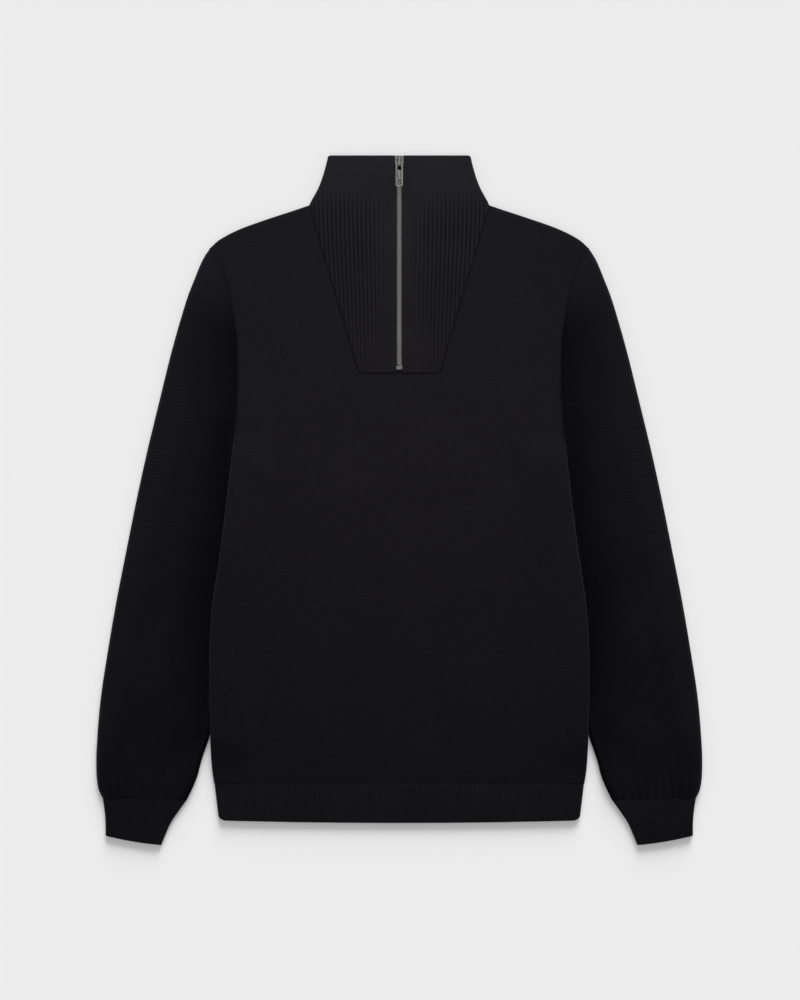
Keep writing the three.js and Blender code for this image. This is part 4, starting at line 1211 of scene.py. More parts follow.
@dataclass
class FlatTube:
    """A flattened tube of cloth between a near and a far fold."""

    cut: Cut
    slot: Slot
    places: np.ndarray
    plan: Plan
    rise: Level
    # Painted shade over the tube, as a colour factor for each place.
    shade: Level
    ribs: int = 0
    rib_steps: int = 8
    pitch: float = 4.8
    columns: int = 30
    first_dip: float = 1.0
    last_dip: float = 1.0

    def size(self, t: float) -> float:
        """Width of the flattened tube."""
        x, height = self.plan(np.array([0.0, 1.0]), t)
        return float(np.hypot(x[1] - x[0], height[1] - height[0]))

    def outline(self, spots: np.ndarray) -> np.ndarray:
        """Points round the flattened tube's plan."""
        ends = np.array([0.0, 1.0])
        folds = np.array([np.column_stack(self.plan(ends, float(t))) for t in spots])
        first = np.column_stack(self.plan(spots, 0.0))
        last = np.column_stack(self.plan(spots, 1.0))
        return np.concatenate([first, folds[1:, 1], last[::-1][1:], folds[::-1][1:, 0]])

    def line(self, wall: Wall, t: float, run: float, dips: float) -> tuple[Row, Row]:
        """One line round the tube, from the near fold over the top and back below."""
        cut = self.cut
        width = self.size(t)
        reach = cut.fold_reach / width
        ends = [float(self.rise(np.array([s]), t)[0]) for s in (0.0, 1.0)]
        near = cut.section(cut.half_thickness + ends[0], 1.0)
        far = cut.section(cut.half_thickness + ends[1], 1.0)
        under = cut.section(cut.half_thickness, 1.0)
        up, down = slice(None, None, -1), slice(None)
        count = self.ribs * self.rib_steps if self.ribs else self.columns
        part = np.arange(1, count) / count
        s = reach + part * (1 - 2 * reach)
        top = cut.half_thickness + self.rise(s, t)
        low = np.full_like(s, cut.half_thickness)
        if self.ribs:
            relief = cut.band_relief * rib_level(part * self.ribs)
            top = top - cut.knit_wall + cut.band_wall + relief
            low = low - cut.band_relief + relief
        ease = 1.0 / cut.half_thickness
        fold_rise = [np.maximum(f[1] - dips * f[1] * ease, 0) for f in (near, far, under)]
        outer_s = np.concatenate([
            (near[0] / width)[up], s, 1 - far[0] / width, (1 - under[0] / width)[-2::-1], s[::-1],
            (under[0] / width)[:-1],
        ])
        outer_z = np.concatenate([
            fold_rise[0][up], top - dips, fold_rise[1], -fold_rise[2][-2::-1], (dips - low)[::-1],
            -fold_rise[2][:-1],
        ])
        coarse_part = np.linspace(0.02, 0.98, 16)
        c = reach + coarse_part * (1 - 2 * reach)
        level = cut.half_thickness - cut.knit_wall
        inner_s = np.concatenate([
            (near[2] / width)[up], c, 1 - far[2] / width, (1 - under[2] / width)[-2::-1], c[::-1],
            (under[2] / width)[:-1],
        ])
        inner_z = np.concatenate([
            near[3][up], level + self.rise(c, t), far[3], -under[3][-2::-1], np.full_like(c, -level),
            -under[3][:-1],
        ])
        turn = np.arange(len(cut.angles)) / 10

        def keyed(middle: np.ndarray) -> np.ndarray:
            return np.concatenate([
                turn, 1 + middle, 2.0 + turn, 3.0 + turn[:-1], 4 + (1 - middle[::-1]), 5.1 + turn[:-1],
            ])

        rows = []
        for places, z, keys in ((outer_s, outer_z, keyed(part)), (inner_s, inner_z, keyed(coarse_part))):
            x, height = self.plan(places, t)
            ribs_run = self.ribs * self.pitch
            across = (places - reach) / (1 - 2 * reach) * ribs_run if self.ribs else places * width
            cloth = (across, np.full_like(x, run))
            shade = self.shade((places - reach) / (1 - 2 * reach), t)
            row = wall.row(x, height, cut.half_thickness + z, keys, cloth, shade)
            rows.append(joined(row, Row(row.ids[:1], np.array([6.0]))))
        return rows[0], rows[1]

    def build(self, name: str, material: bpy.types.Material, mirror: bool) -> bpy.types.Object:
        """Makes the tube, or its mirror image."""
        cut = self.cut
        wall = Wall()
        middle = np.array([0.5])
        spots = [np.concatenate(self.plan(middle, float(t))) for t in self.places]
        steps = [float(np.hypot(*(b - a))) for a, b in zip(spots, spots[1:])]
        run = np.concatenate([[0.0], np.cumsum(steps)])
        outer: list[Row] = []
        inner: list[Row] = []
        for t, at in zip(self.places, run):
            ends = (self.first_dip * float(cut.dip(at)), self.last_dip * float(cut.dip(run[-1] - at)))
            dips = max(ends)
            pair = self.line(wall, float(t), float(-at), dips)
            outer.append(pair[0])
            inner.append(pair[1])
        wall.sides(inner, outer)
        wall.close_first(inner, outer)
        wall.close_last(inner, outer)
        return wall.piece(name, material, mirror=mirror)


@dataclass(frozen=True)
class CuffLine:
    """One cross line of the cuff, between its two folds."""

    inner_x: float
    inner_height: float
    outer_x: float
    outer_height: float


@dataclass
class Arm:
    """A sleeve set into the armhole, and its cuff."""

    cut: Cut
    cuff_lines: tuple[CuffLine, ...] = (
        CuffLine(239, 25.7, 333.3, 27.7),
        CuffLine(249, 11.8, 331.3, 14),
        CuffLine(258, -2.2, 330.2, 1.5),
        CuffLine(267.6, CUFF_LOW, 330, -14.5),
    )
    cuff_ribs: int = 18
    cuff_bow: float = 1.2
    gathers: int = 11
    gather_depth: float = 0.3
    # How dark the painted shade makes the cuff's rib valleys.
    valley_shade: float = 0.2
    # Painted shade on the sleeve under the body's edge, its reach, and a painted lift of light near the
    # armhole's top.
    least_shade: float = 0.33
    low_shade: float = 0.42
    top_painted_light: float = 0.13
    shade_reach: float = 46.0
    low_reach: float = 26.0
    crown: float = 1.9
    tuck: float = 1.0
    shade_curve: float = 1.25
    low_span: tuple[float, float] = (120.0, 300.0)
    clear_span: tuple[float, float] = (545.0, 615.0)
    gather_span: tuple[float, float] = (0.9, 0.985)
    seam_steps: tuple[float, ...] = (0, 0.0003, 0.0008, 0.0017, 0.003, 0.006)
    creases: tuple[Crease, ...] = (
        Crease((196, 470), (232, 520), 9, -0.5), Crease((206, 448), (250, 480), 8, 0.45),
        Crease((214, 372), (270, 356), 15, -0.45), Crease((232, 330), (300, 300), 13, 0.4),
        Crease((318, 262), (262, 214), 17, -0.4), Crease((226, 150), (290, 118), 16, -0.45),
        Crease((300, 96), (326, 60), 11, -0.4), Crease((240, 92), (262, 56), 10, -0.45),
    )

    def __post_init__(self) -> None:
        """Works out the cuff's smooth sides."""
        spread = np.linspace(0, 1, len(self.cuff_lines))
        self.cuff_sides = {
            name: Profile(*[(float(t), getattr(line, name)) for t, line in zip(spread, self.cuff_lines)])
            for name in ("inner_x", "inner_height", "outer_x", "outer_height")
        }

    def sleeve_plan(self, s: np.ndarray, t: float) -> tuple[np.ndarray, np.ndarray]:
        """Plan of the sleeve: s from its inner to its outer fold, t from armhole to cuff."""
        cut = self.cut
        first = self.cuff_lines[0]

        def inner(v: float) -> np.ndarray:
            height = mix(cut.armpit_height, first.inner_height + cut.seam_gap, v)
            return np.array([cut.sleeve_inner(height), height])

        def outer(v: float) -> np.ndarray:
            height = mix(cut.shoulder_height, first.outer_height + cut.seam_gap, v)
            return np.array([cut.sleeve_outer(height), height])

        height = mix(cut.armpit_height, cut.shoulder_height, s)
        near_gap = inner(0)[0] - float(cut.body_edge(cut.armpit_height))
        far_gap = outer(0)[0] - float(cut.body_edge(cut.shoulder_height))
        armhole = np.array([cut.body_edge(height) + mix(near_gap, far_gap, s), height])
        s = s[None, :]
        top = inner(0)[:, None] * (1 - s) + outer(0)[:, None] * s
        end = inner(1)[:, None] * (1 - s) + outer(1)[:, None] * s
        sides = inner(t)[:, None] * (1 - s) + outer(t)[:, None] * s
        # The end at the cuff is straight, so its two terms in this patch cancel out.
        spot = sides + armhole * (1 - t) - top * (1 - t) + end * t - end * t
        return spot[0], spot[1]

    def sleeve_rise(self, s: np.ndarray, t: float) -> np.ndarray:
        """How far the sleeve's upper face stands above its plain level."""
        cut = self.cut
        far = float(mix(cut.body_swell, cut.sleeve_swell, smooth(t, 0, 0.2)))
        near = cut.sleeve_swell * float(smooth(t, 0.85, 0.95))
        blouse = cut.blouse * float(smooth(t, 0.8, 0.95) * (1 - smooth(t, 0.97, 1)))
        depth = self.gather_depth * float(smooth(t, *self.gather_span))
        gather = depth * np.cos(TURN * self.gathers * s)
        x, height = self.sleeve_plan(s, t)
        soft = sum((c.lift(x, height) for c in self.creases), np.zeros_like(x))
        inside = smooth(s, 0, 0.08) * (1 - smooth(s, 0.92, 1))
        crown = self.crown * smooth(s, 0.05, 0.75) * (1 - smooth(s, 0.8, 1)) - self.tuck * (
            smooth(s, 0, 0.06) * (1 - smooth(s, 0.1, 0.55))
        )
        full = crown * float(smooth(t, 0.02, 0.25) * (1 - smooth(t, 0.85, 0.96)))
        swell = far * smooth(s, 0.65, 0.95) + near * (1 - smooth(s, 0.05, 0.35))
        return blouse + swell + full + (gather + soft) * inside

    def sleeve_shade(self, s: np.ndarray, t: float) -> np.ndarray:
        """Painted shade on the sleeve, darker towards the body that rests on it, with a painted lift of
        light near the armhole's top.
        """
        x, height = self.sleeve_plan(s, t)
        away = np.maximum(x - self.cut.body_edge(height), 0)
        low = smooth(height, *self.low_span)
        least = mix(mix(self.low_shade, self.least_shade, low), 1.0, smooth(height, *self.clear_span))
        reach = mix(self.low_reach, self.shade_reach, low)
        # A painted lift of light near the armhole's top, fading away from the body's edge.
        top = self.top_painted_light * smooth(height, *self.cut.seam_fade) * np.exp(-away / self.low_reach)
        return mix(least, 1.0, 1 - np.exp(-((away / reach) ** self.shade_curve))) + top

    def cuff_plan(self, s: np.ndarray, t: float) -> tuple[np.ndarray, np.ndarray]:
        """Plan of the cuff: s from its inner to its outer fold, t from seam to open end."""
        sides = {name: float(side(t)) for name, side in self.cuff_sides.items()}
        bow = self.cuff_bow * t * np.sin(math.pi * np.clip(s, 0, 1))
        x = mix(sides["inner_x"], sides["outer_x"], s)
        return x, mix(sides["inner_height"], sides["outer_height"], s) - bow

    def sleeve(self) -> FlatTube:
        """The sleeve's tube."""
        near = np.array(self.seam_steps)
        places = np.concatenate([near, np.linspace(0.013, 0.985, 84), 1 - near[::-1]])
        return FlatTube(
            self.cut, Slot.SLEEVE, places, self.sleeve_plan, self.sleeve_rise, self.sleeve_shade,
            last_dip=self.cut.band_dip,
        )

    def cuff(self) -> FlatTube:
        """The cuff's tube."""
        places = np.concatenate([BAND_STEPS, np.linspace(0.1, 0.9, 10), 1 - BAND_STEPS[::-1]])

        def level(s: np.ndarray, t: float) -> np.ndarray:
            return np.zeros_like(s)

        # Painted shade in the cuff's rib valleys.
        def shade(s: np.ndarray, t: float) -> np.ndarray:
            inside = np.clip(s, 0, 1)
            return 1 - self.valley_shade * (1 - rib_level(inside * self.cuff_ribs)) * (inside == s)

        return FlatTube(
            self.cut, Slot.RIB, places, self.cuff_plan, level, shade, ribs=self.cuff_ribs,
            first_dip=self.cut.band_dip,
        )


def block_mesh(
    outline: Sequence[tuple[float, float]], levels: Sequence[tuple[float, float]],
    centre: tuple[float, float],
) -> Block:
    """Points and faces of a small cast part with shaped edges.

    Args:
        outline: Its plan, anticlockwise.
        levels: Pairs of (height above the surface, how far the plan is drawn in), rising.
        centre: The point that the plan is drawn in towards.

    Returns:
        Points in millimetres and faces.
    """
    plan = np.array(outline)
    middle = np.array(centre)
    reach = np.hypot(*(plan - middle).T)
    points, faces = [], []
    count = len(plan)
    for level, drawn in levels:
        ring = middle + (plan - middle) * (1 - drawn / reach)[:, None]
        points.append(np.column_stack([ring, np.full(count, level)]))
    for k in range(len(levels) - 1):
        for i in range(count):
            j = (i + 1) % count
            faces.append((k * count + i, k * count + j, (k + 1) * count + j, (k + 1) * count + i))
    faces.append(tuple(range(count))[::-1])
    faces.append(tuple(range((len(levels) - 1) * count, len(levels) * count)))
    return np.concatenate(points), faces


def repeated(
    name: str, base: Block, moves: Sequence[Matrix], material: bpy.types.Material, crease: float
) -> bpy.types.Object:
    """Makes one mesh from many placed copies of a small one, given in millimetres up the garment."""
    points, faces = base
    mesh = bpy.data.meshes.new(name)
    stacked, loops = [], []
    homogeneous = np.column_stack([points, np.ones(len(points))])
    for k, move in enumerate(moves):
        moved = (homogeneous @ np.array(move).T)[:, :3]
        flip = Matrix(move).determinant() < 0
        stacked.append(moved)
        loops.extend(
            tuple(i + k * len(points) for i in (face[::-1] if flip else face)) for face in faces
        )
    whole = (np.concatenate(stacked) - np.array([0, MID_HEIGHT, 0])) * MM
    mesh.from_pydata(whole.tolist(), [], loops)
    return place(name, mesh, material, crease)


def arc(
    centre: tuple[float, float], radius: float, start: float, end: float, steps: int
) -> list[tuple[float, float]]:
    """Points on an arc between two angles in degrees."""
    turns = np.radians(np.linspace(start, end, steps))
    return [(centre[0] + radius * math.cos(t), centre[1] + radius * math.sin(t)) for t in turns]


def rounded(
    half: float, low: float, high: float, low_radius: float, high_radius: float, steps: int = 8
) -> list[tuple[float, float]]:
    """Plan of an upright bar with rounded corners, anticlockwise."""
    return (
        arc((half - low_radius, low + low_radius), low_radius, -90, 0, steps)
        + arc((half - high_radius, high - high_radius), high_radius, 0, 90, steps)
        + arc((high_radius - half, high - high_radius), high_radius, 90, 180, steps)
        + arc((low_radius - half, low + low_radius), low_radius, 180, 270, steps)
    )


def pressed(
    name: str, outlines: Sequence[Sequence[tuple[float, float]]], thickness: float, bevel: float
) -> bpy.types.Mesh:
    """A plate pressed from sheet metal, with holes and rounded rims, in its own plane.

    Args:
        name: Name of the mesh.
        outlines: The plan first, then the holes, in millimetres.
        thickness: Thickness in millimetres.
        bevel: Radius of its rims in millimetres.

    Returns:
        The mesh, in metres.
    """
    curve = bpy.data.curves.new(name, "CURVE")
    curve.dimensions = "2D"
    curve.fill_mode = "BOTH"
    curve.extrude = (thickness / 2 - bevel) * MM
    curve.bevel_depth = bevel * MM
    curve.bevel_resolution = 2
    curve.offset = -bevel * MM
    for outline in outlines:
        spline = curve.splines.new("POLY")
        spline.points.add(len(outline) - 1)
        spline.points.foreach_set("co", [c for x, y in outline for c in (x * MM, y * MM, 0.0, 1.0)])
        spline.use_cyclic_u = True
    made = bpy.data.objects.new(name, curve)
    bpy.context.scene.collection.objects.link(made)
    bpy.context.view_layer.update()
    mesh = bpy.data.meshes.new_from_object(made.evaluated_get(bpy.context.evaluated_depsgraph_get()))
    bpy.data.objects.remove(made)
    bpy.data.curves.remove(curve)
    return mesh


def merged(name: str, parts: Sequence[bpy.types.Mesh]) -> bpy.types.Mesh:
    """One mesh from several."""
    points: list[tuple[float, float, float]] = []
    faces: list[tuple[int, ...]] = []
    for part in parts:
        start = len(points)
        points.extend(tuple(v.co) for v in part.vertices)
        faces.extend(tuple(i + start for i in p.vertices) for p in part.polygons)
    mesh = bpy.data.meshes.new(name)
    mesh.from_pydata(points, [], faces)
    return mesh


@dataclass
class Linking:
    """Rows of linking stitches in the seams: one lens of yarn after the other."""

    cut: Cut
    pitch: float = 2.4
    half_width: float = 0.5
    half_height: float = 0.32
    overlap: float = 0.6
    slant: float = math.radians(14)
    armhole_ends: tuple[float, float] = (32.0, 4.0)
    probe: float = 0.5
    upper: float = 4.6
    rings: int = 5
    sides: int = 8

    def stitch(self) -> Block:
        """One stitch along X, about its middle."""
        half = self.pitch * self.overlap
        points = [(-half, 0.0, 0.0)]
        faces: list[tuple[int, ...]] = []
        turns = np.radians(np.arange(self.sides) * 360 / self.sides)
        for ring in range(1, self.rings):
            lean = math.pi * ring / self.rings
            reach = math.sin(lean)
            x = -half * math.cos(lean)
            points += [
                (x, self.half_width * reach * math.cos(t), self.half_height * reach * math.sin(t))
                for t in turns
            ]
        points.append((half, 0.0, 0.0))
        last = len(points) - 1
        for k in range(self.sides):
            j = (k + 1) % self.sides
            faces.append((0, 1 + j, 1 + k))
            for ring in range(self.rings - 2):
                a, b = 1 + ring * self.sides, 1 + (ring + 1) * self.sides
                faces.append((a + k, a + j, b + j, b + k))
            end = last - self.sides
            faces.append((end + k, end + j, last))
        return np.array(points), faces

    def along(self, path: np.ndarray) -> list[Matrix]:
        """Places of the stitches along a path of (x, height, level)."""
        steps = np.hypot(*(path[1:, :2] - path[:-1, :2]).T)
        run = np.concatenate([[0.0], np.cumsum(steps)])
        count = max(int(run[-1] / self.pitch), 1)
        spots = (np.arange(count) + 0.5) * run[-1] / count
        moves: list[Matrix] = []
        for spot in spots:
            back, here, ahead = (
                [float(np.interp(spot + step, run, path[:, axis])) for axis in range(3)]
                for step in (-self.probe, 0.0, self.probe)
            )
            turn = math.atan2(ahead[1] - back[1], ahead[0] - back[0]) + self.slant
            moves.append(Matrix.Translation(here) @ Matrix.Rotation(turn, 4, "Z"))
        return moves

    def both_sides(self, path: np.ndarray) -> list[Matrix]:
        """Stitches along a path and its mirror image."""
        return self.along(path) + self.along(path * np.array([-1.0, 1.0, 1.0]))

    def placket_path(self) -> np.ndarray:
        """Half of the seam round the placket, from its foot's middle to the neck."""
        cut = self.cut
        foot = np.column_stack([
            np.linspace(0, cut.placket_x - cut.placket_radius, 12), np.full(12, cut.placket_height),
        ])
        heights = cut.placket_height + np.concatenate([
            cut.placket_radius * (1 - np.cos(np.radians(np.linspace(10, 90, 7)))),
            np.linspace(8, cut.neck_height - cut.placket_height - 3, 40),
        ])
        side = np.column_stack([cut.placket_edge(heights), heights])
        path = np.concatenate([foot, side])
        return np.column_stack([path, np.full(len(path), self.upper)])

    def armhole_path(self, level: float) -> np.ndarray:
        """The seam between body and sleeve, but for its top, where it doesn't show."""
        start, end = self.armhole_ends
        heights = np.linspace(self.cut.shoulder_height - start, self.cut.armpit_height + end, 60)
        return np.column_stack([self.cut.body_edge(heights), heights, np.full(60, level)])

    def build(self, name: str, arm: Arm, hem: Hem, material: bpy.types.Material) -> bpy.types.Object:
        """All the linked seams in one mesh."""
        cut = self.cut
        lower = 2 * cut.half_thickness - self.upper
        moves = self.both_sides(self.placket_path())
        x = np.linspace(0, hem.top_half - 5, 40)
        s = np.linspace(0.06, 0.94, 20)
        cuff = np.column_stack(arm.cuff_plan(s, 0.0))
        neck = np.linspace(0, cut.neck_x - 5, 20)
        dipped = cut.neck_height - cut.neck_dip * (1 - (neck / cut.neck_x) ** 2)
        for level in (self.upper, lower):
            moves += self.both_sides(self.armhole_path(level))
            hem_seam = [x, np.full_like(x, cut.hem_top), np.full_like(x, level)]
            moves += self.both_sides(np.column_stack(hem_seam))
            moves += self.both_sides(np.column_stack([cuff, np.full_like(s, level)]))
        moves += self.both_sides(np.column_stack([neck, dipped, np.full_like(neck, lower)]))
        return repeated(name, self.stitch(), moves, material, YARN_ANGLE)


@dataclass
class Zip:
    """The zip: two tapes, teeth, bottom stop, slider and pull tab."""

    cut: Cut
    tape_width: float = 14.0
    tape_low: float = 500.0
    tape_high: float = 744.0
    tape_levels: tuple[float, float] = (2.7, 3.3)
    tape_columns: tuple[float, ...] = (0.15, 0.5, 0.9, 1.4, 2.2, 3.0, 4.0, 6.0, 10.0)
    bead_sink: float = 0.3
    tape_bead: tuple[float, ...] = (0.15, 0.28, 0.3, 0.2, 0.02, 0, 0, 0, 0, 0)
    teeth_low: float = 514.0
    teeth_high: float = 736.7
    tooth_pitch: float = 2.357
    tooth_reach: float = 2.75
    tooth_levels: tuple[float, float] = (3.35, 6.1)
    tooth_half: float = 0.4
    tooth_middle: float = 1.2
    tooth_corner: float = 0.3
    tooth_edges: tuple[tuple[float, float], ...] = ((0.4, 0.0), (0.1, 0.06), (0.0, 0.16))
    tooth_plan: tuple[tuple[float, float], ...] = (
        (-0.7, 0.16), (-0.5, 0.26), (0.2, 0.24), (0.75, 0.3), (1.2, 0.4),
    )
    stop_half: float = 3.65
    stop_low: float = 509.0
    stop_high: float = 513.7
    stop_corner: float = 0.9
    stop_levels: tuple[tuple[float, float], ...] = ((3.4, 0.0), (6.0, 0.0), (6.4, 0.15), (6.6, 0.5))
    slider_low: float = 737.0
    slider_high: float = 749.6
    slider_half: float = 4.8
    slider_low_half: float = 3.9
    slider_top: float = 7.7
    plate: float = 1.3
    cast_edge: float = 0.3
    neck_half: float = 2.7
    neck_foot: float = 3.4
    neck_sink: float = 0.3
    bridge_half: float = 1.4
    bridge_low: float = 737.2
    bridge_high: float = 747.4
    bridge_top: float = 11.4
    bridge_bar: float = 1.2
    bridge_leg: float = 1.7
    bridge_bend: float = 1.3
    bridge_fillet: float = 0.5
    slider_rim: float = 1.3
    recess_depth: float = 0.6
    recess_cut: float = 0.7
    pull_half: float = 4.25
    pull_length: float = 27.4
    pull_thickness: float = 1.3
    crossbar: float = 1.3
    axis_height: float = 741.4
    axis_level: float = 8.95
    tilt: float = math.radians(4)
    slot_half: float = 2.1
    slot_length: float = 8.4
    hole_half: float = 2.15
    hole_length: float = 6.4
    hole_rim: float = 1.9
    groove_x: float = 1.75
    groove_half: float = 0.36
    panel_gap: float = 0.9
    web_thickness: float = 0.5
    web_edge: float = 0.05
    web_tuck: float = 0.6

    def tape(self, name: str, material: bpy.types.Material, mirror: bool) -> bpy.types.Object:
        """One woven tape, thicker along the edge that carries the teeth."""
        wall = Wall()
        low, high = self.tape_levels
        x = np.array([*self.tape_columns, self.tape_width])
        bead = np.array(self.tape_bead)
        outer: list[Row] = []
        inner: list[Row] = []
        for height in np.linspace(self.tape_low, self.tape_high, 32):
            outer.append(wall.row(x, height, high - self.bead_sink + bead, x))
            inner.append(wall.row(x, height, np.full_like(x, low), x))
        wall.sides(outer, inner)
        wall.close_first(outer, inner)
        wall.close_last(outer, inner)
        wall.close_starts(outer, inner)
        wall.close_ends(outer, inner)
        return wall.piece(name, material, mirror=mirror)

    def teeth(self, name: str, material: bpy.types.Material) -> bpy.types.Object:
        """Both rows of cast teeth, in each other's gaps."""
        low, high = self.tooth_levels
        reach = self.tooth_reach
        tip = [(reach - self.tooth_corner, self.tooth_half), (reach, 0.6 * self.tooth_half)]
        side = [*self.tooth_plan, *tip]
        outline = [(x, -y) for x, y in side] + side[::-1]
        levels = [(low, 0.0), *((high - drop, inset) for drop, inset in self.tooth_edges)]
        base = block_mesh(outline, levels, (self.tooth_middle, 0.0))
        moves: list[Matrix] = []
        pitch = self.tooth_pitch
        count = int((self.teeth_high - self.teeth_low - pitch) / pitch)
        for k in range(count):
            height = self.teeth_low + pitch * (0.5 + k)
            moves.append(Matrix.Translation((0, height, 0)))
            moves.append(Matrix.Translation((0, height + pitch / 2, 0)) @ Matrix.Diagonal((-1, 1, 1, 1)))
        return repeated(name, base, moves, material, METAL_ANGLE)

    def stop(self, name: str, material: bpy.types.Material) -> bpy.types.Object:
        """The clamped bottom stop."""
        half, low, high = self.stop_half, self.stop_low, self.stop_high
        middle = (low + high) / 2
        outline = rounded(half, low, high, self.stop_corner, self.stop_corner, 5)
        body = block_mesh(outline, self.stop_levels, (0.0, middle))
        return repeated(name, body, [Matrix.Identity(4)], material, METAL_ANGLE)

    def slider_piece(self, name: str, material: bpy.types.Material) -> bpy.types.Object:
        """The slider: a top plate with flanges, its neck and the bridge that holds the pull tab."""
        high, low = self.slider_high, self.slider_low
        half, narrow = self.slider_half, self.slider_low_half
        toe, waist, head = 0.6, 0.9, 1.7
        belly = low + 4.2
        outline = [
            *arc((narrow - toe, low + toe), toe, -90, -20, 5),
            *arc((half - waist, belly), waist, -15, 20, 4),
            *arc((half - head, high - head), head, 0, 90, 7),
            *arc((head - half, high - head), head, 90, 180, 7),
            *arc((waist - half, belly), waist, 160, 195, 4),
            *arc((toe - narrow, low + toe), toe, 200, 270, 5),
        ]
        plate = pressed(name, [outline, self.slider_recess()], self.plate, self.cast_edge)
        foot = self.slider_top - self.plate / 2
        plate.transform(Matrix.Translation(Vector((0, -MID_HEIGHT, foot)) * MM))
        neck_plan = rounded(self.neck_half, low + 0.3, high - 1.2, 0.7, 1.2, 5)
        tall = self.slider_top - self.plate - self.neck_foot + 2 * self.neck_sink
        neck = pressed(name, [neck_plan], tall, 0.2)
        middle = (self.neck_foot + self.slider_top - self.plate + self.neck_sink) / 2
        neck.transform(Matrix.Translation(Vector((0, -MID_HEIGHT, middle)) * MM))
        top, bar, leg = self.bridge_top, self.bridge_bar, self.bridge_leg
        first, last = self.bridge_low, self.bridge_high
        bend, fillet = self.bridge_bend, self.bridge_fillet
        arch = [
            (first, foot), (first + leg, foot), (first + leg, top - bar - fillet),
            (first + leg + fillet, top - bar), (last - leg - fillet, top - bar),
            (last - leg, top - bar - fillet), (last - leg, foot), (last, foot),
            *arc((last - bend, top - bend), bend, 0, 90, 6),
            *arc((first + bend, top - bend), bend, 90, 180, 6),
        ]
        bridge = pressed(name, [arch], 2 * self.bridge_half, self.cast_edge)
        upright = Matrix(((0, 0, 1, 0), (1, 0, 0, -MID_HEIGHT * MM), (0, 1, 0, 0), (0, 0, 0, 1)))
        bridge.transform(upright)
        return place(name, merged(name, [plate, neck, bridge]), material, METAL_ANGLE)

    def slider_recess(self) -> list[tuple[float, float]]:
        """Plan of the sunk middle of the slider's plate."""
        low, high = self.slider_low + self.slider_rim, self.slider_high - self.slider_rim
        return rounded(self.slider_low_half - 0.9, low, high, 0.6, 1.6, 6)

    def slider_floor(self, name: str, material: bpy.types.Material) -> bpy.types.Object:
        """A dark plate at the bottom of the slider's sunk middle: painted shade in the recess."""
        plate = pressed(name, [self.slider_recess()], self.plate - self.recess_cut, self.web_edge)
        plate.transform(Matrix.Diagonal((1.06, 1.0, 1.0, 1.0)))
        level = self.slider_top - self.recess_depth - (self.plate - self.recess_cut) / 2
        plate.transform(Matrix.Translation(Vector((0, -MID_HEIGHT, level)) * MM))
        return place(name, plate, material, METAL_ANGLE)

    def panel(self) -> tuple[float, float]:
        """Lower and upper end of the tab's grooved panel, from its axis."""
        top = self.crossbar / 2
        low = top - self.pull_length + self.hole_rim + self.hole_length
        return low + self.panel_gap, -top - self.slot_length - self.panel_gap

    def hang(self, mesh: bpy.types.Mesh) -> None:
        """Moves a part of the tab from its own axis to where it hangs."""
        hinge = Matrix.Translation(Vector((0, self.axis_height - MID_HEIGHT, self.axis_level)) * MM)
        mesh.transform(hinge @ Matrix.Rotation(self.tilt, 4, "X"))

    def pull_floor(self, name: str, material: bpy.types.Material) -> bpy.types.Object:
        """A dark web under the tab's grooves: painted shade in the grooves."""
        low, high = self.panel()
        half = self.pull_half - 1.0
        plan = rounded(half, low - self.web_tuck, high + self.web_tuck, 0.4, 0.4, 4)
        plate = pressed(name, [plan], self.web_thickness, self.web_edge)
        self.hang(plate)
        return place(name, plate, material, METAL_ANGLE)

    def pull(self, name: str, material: bpy.types.Material) -> bpy.types.Object:
        """The pull tab: a slot for the bridge, a raised grooved panel and a plain hole."""
        top = self.crossbar / 2
        low = top - self.pull_length
        hole_low = low + self.hole_rim
        plan = rounded(self.pull_half, low, top, 1.9, 1.0, 10)
        slot = rounded(self.slot_half, -top - self.slot_length, -top, 1.3, 0.65, 7)
        hole = rounded(self.hole_half, hole_low, hole_low + self.hole_length, 1.7, 1.7, 7)
        turn = self.groove_half * 0.9
        groove = rounded(self.groove_half, *self.panel(), turn, turn, 4)
        grooves = [[(x + side * self.groove_x, y) for x, y in groove] for side in (-1, 1)]
        mesh = pressed(name, [plan, slot, hole, *grooves], self.pull_thickness, 0.22)
        self.hang(mesh)
        return place(name, mesh, material, METAL_ANGLE)


@dataclass(frozen=True)
class Sun:
    """A far soft light: where it stands, how wide it is, and what it gives a level surface."""

    name: str
    azimuth: float
    elevation: float
    spread: float
    level: float

    def place(self, only: bpy.types.Collection | None = None) -> None:
        """Adds the light, which may light a group of pieces alone."""
        data = bpy.data.lights.new(self.name, "SUN")
        data.angle = math.radians(self.spread)
        data.energy = self.level * math.pi / math.sin(math.radians(self.elevation))
        made = bpy.data.objects.new(self.name, data)
        turn, lift = math.radians(self.azimuth), math.radians(self.elevation)
        level = math.cos(lift)
        toward = Vector((math.cos(turn) * level, math.sin(turn) * level, math.sin(lift)))
        made.location = toward * 2
        made.rotation_euler = toward.to_track_quat("Z", "Y").to_euler()
        bpy.context.scene.collection.objects.link(made)
        if only is not None:
            made.light_linking.receiver_collection = only


@dataclass(frozen=True)
class Pool:
    """A soft pool of light from a lamp near the garment."""

    name: str
    stand: tuple[float, float, float]
    aim: tuple[float, float]
    width: float
    power: float
    colour: tuple[float, float, float]
    lamp_radius: float = 0.25

    def place(self, group: bpy.types.Collection) -> None:
        """Adds the lamp, which lights a group of pieces alone."""
        data = bpy.data.lights.new(self.name, "SPOT")
        data.energy = self.power
        data.color = self.colour
        data.spot_size = math.radians(self.width)
        data.spot_blend = 1.0
        data.shadow_soft_size = self.lamp_radius
        made = bpy.data.objects.new(self.name, data)
        made.location = self.stand
        toward = Vector((*self.aim, 0.0)) - Vector(self.stand)
        made.rotation_euler = toward.to_track_quat("-Z", "Y").to_euler()
        bpy.context.scene.collection.objects.link(made)
        made.light_linking.receiver_collection = group


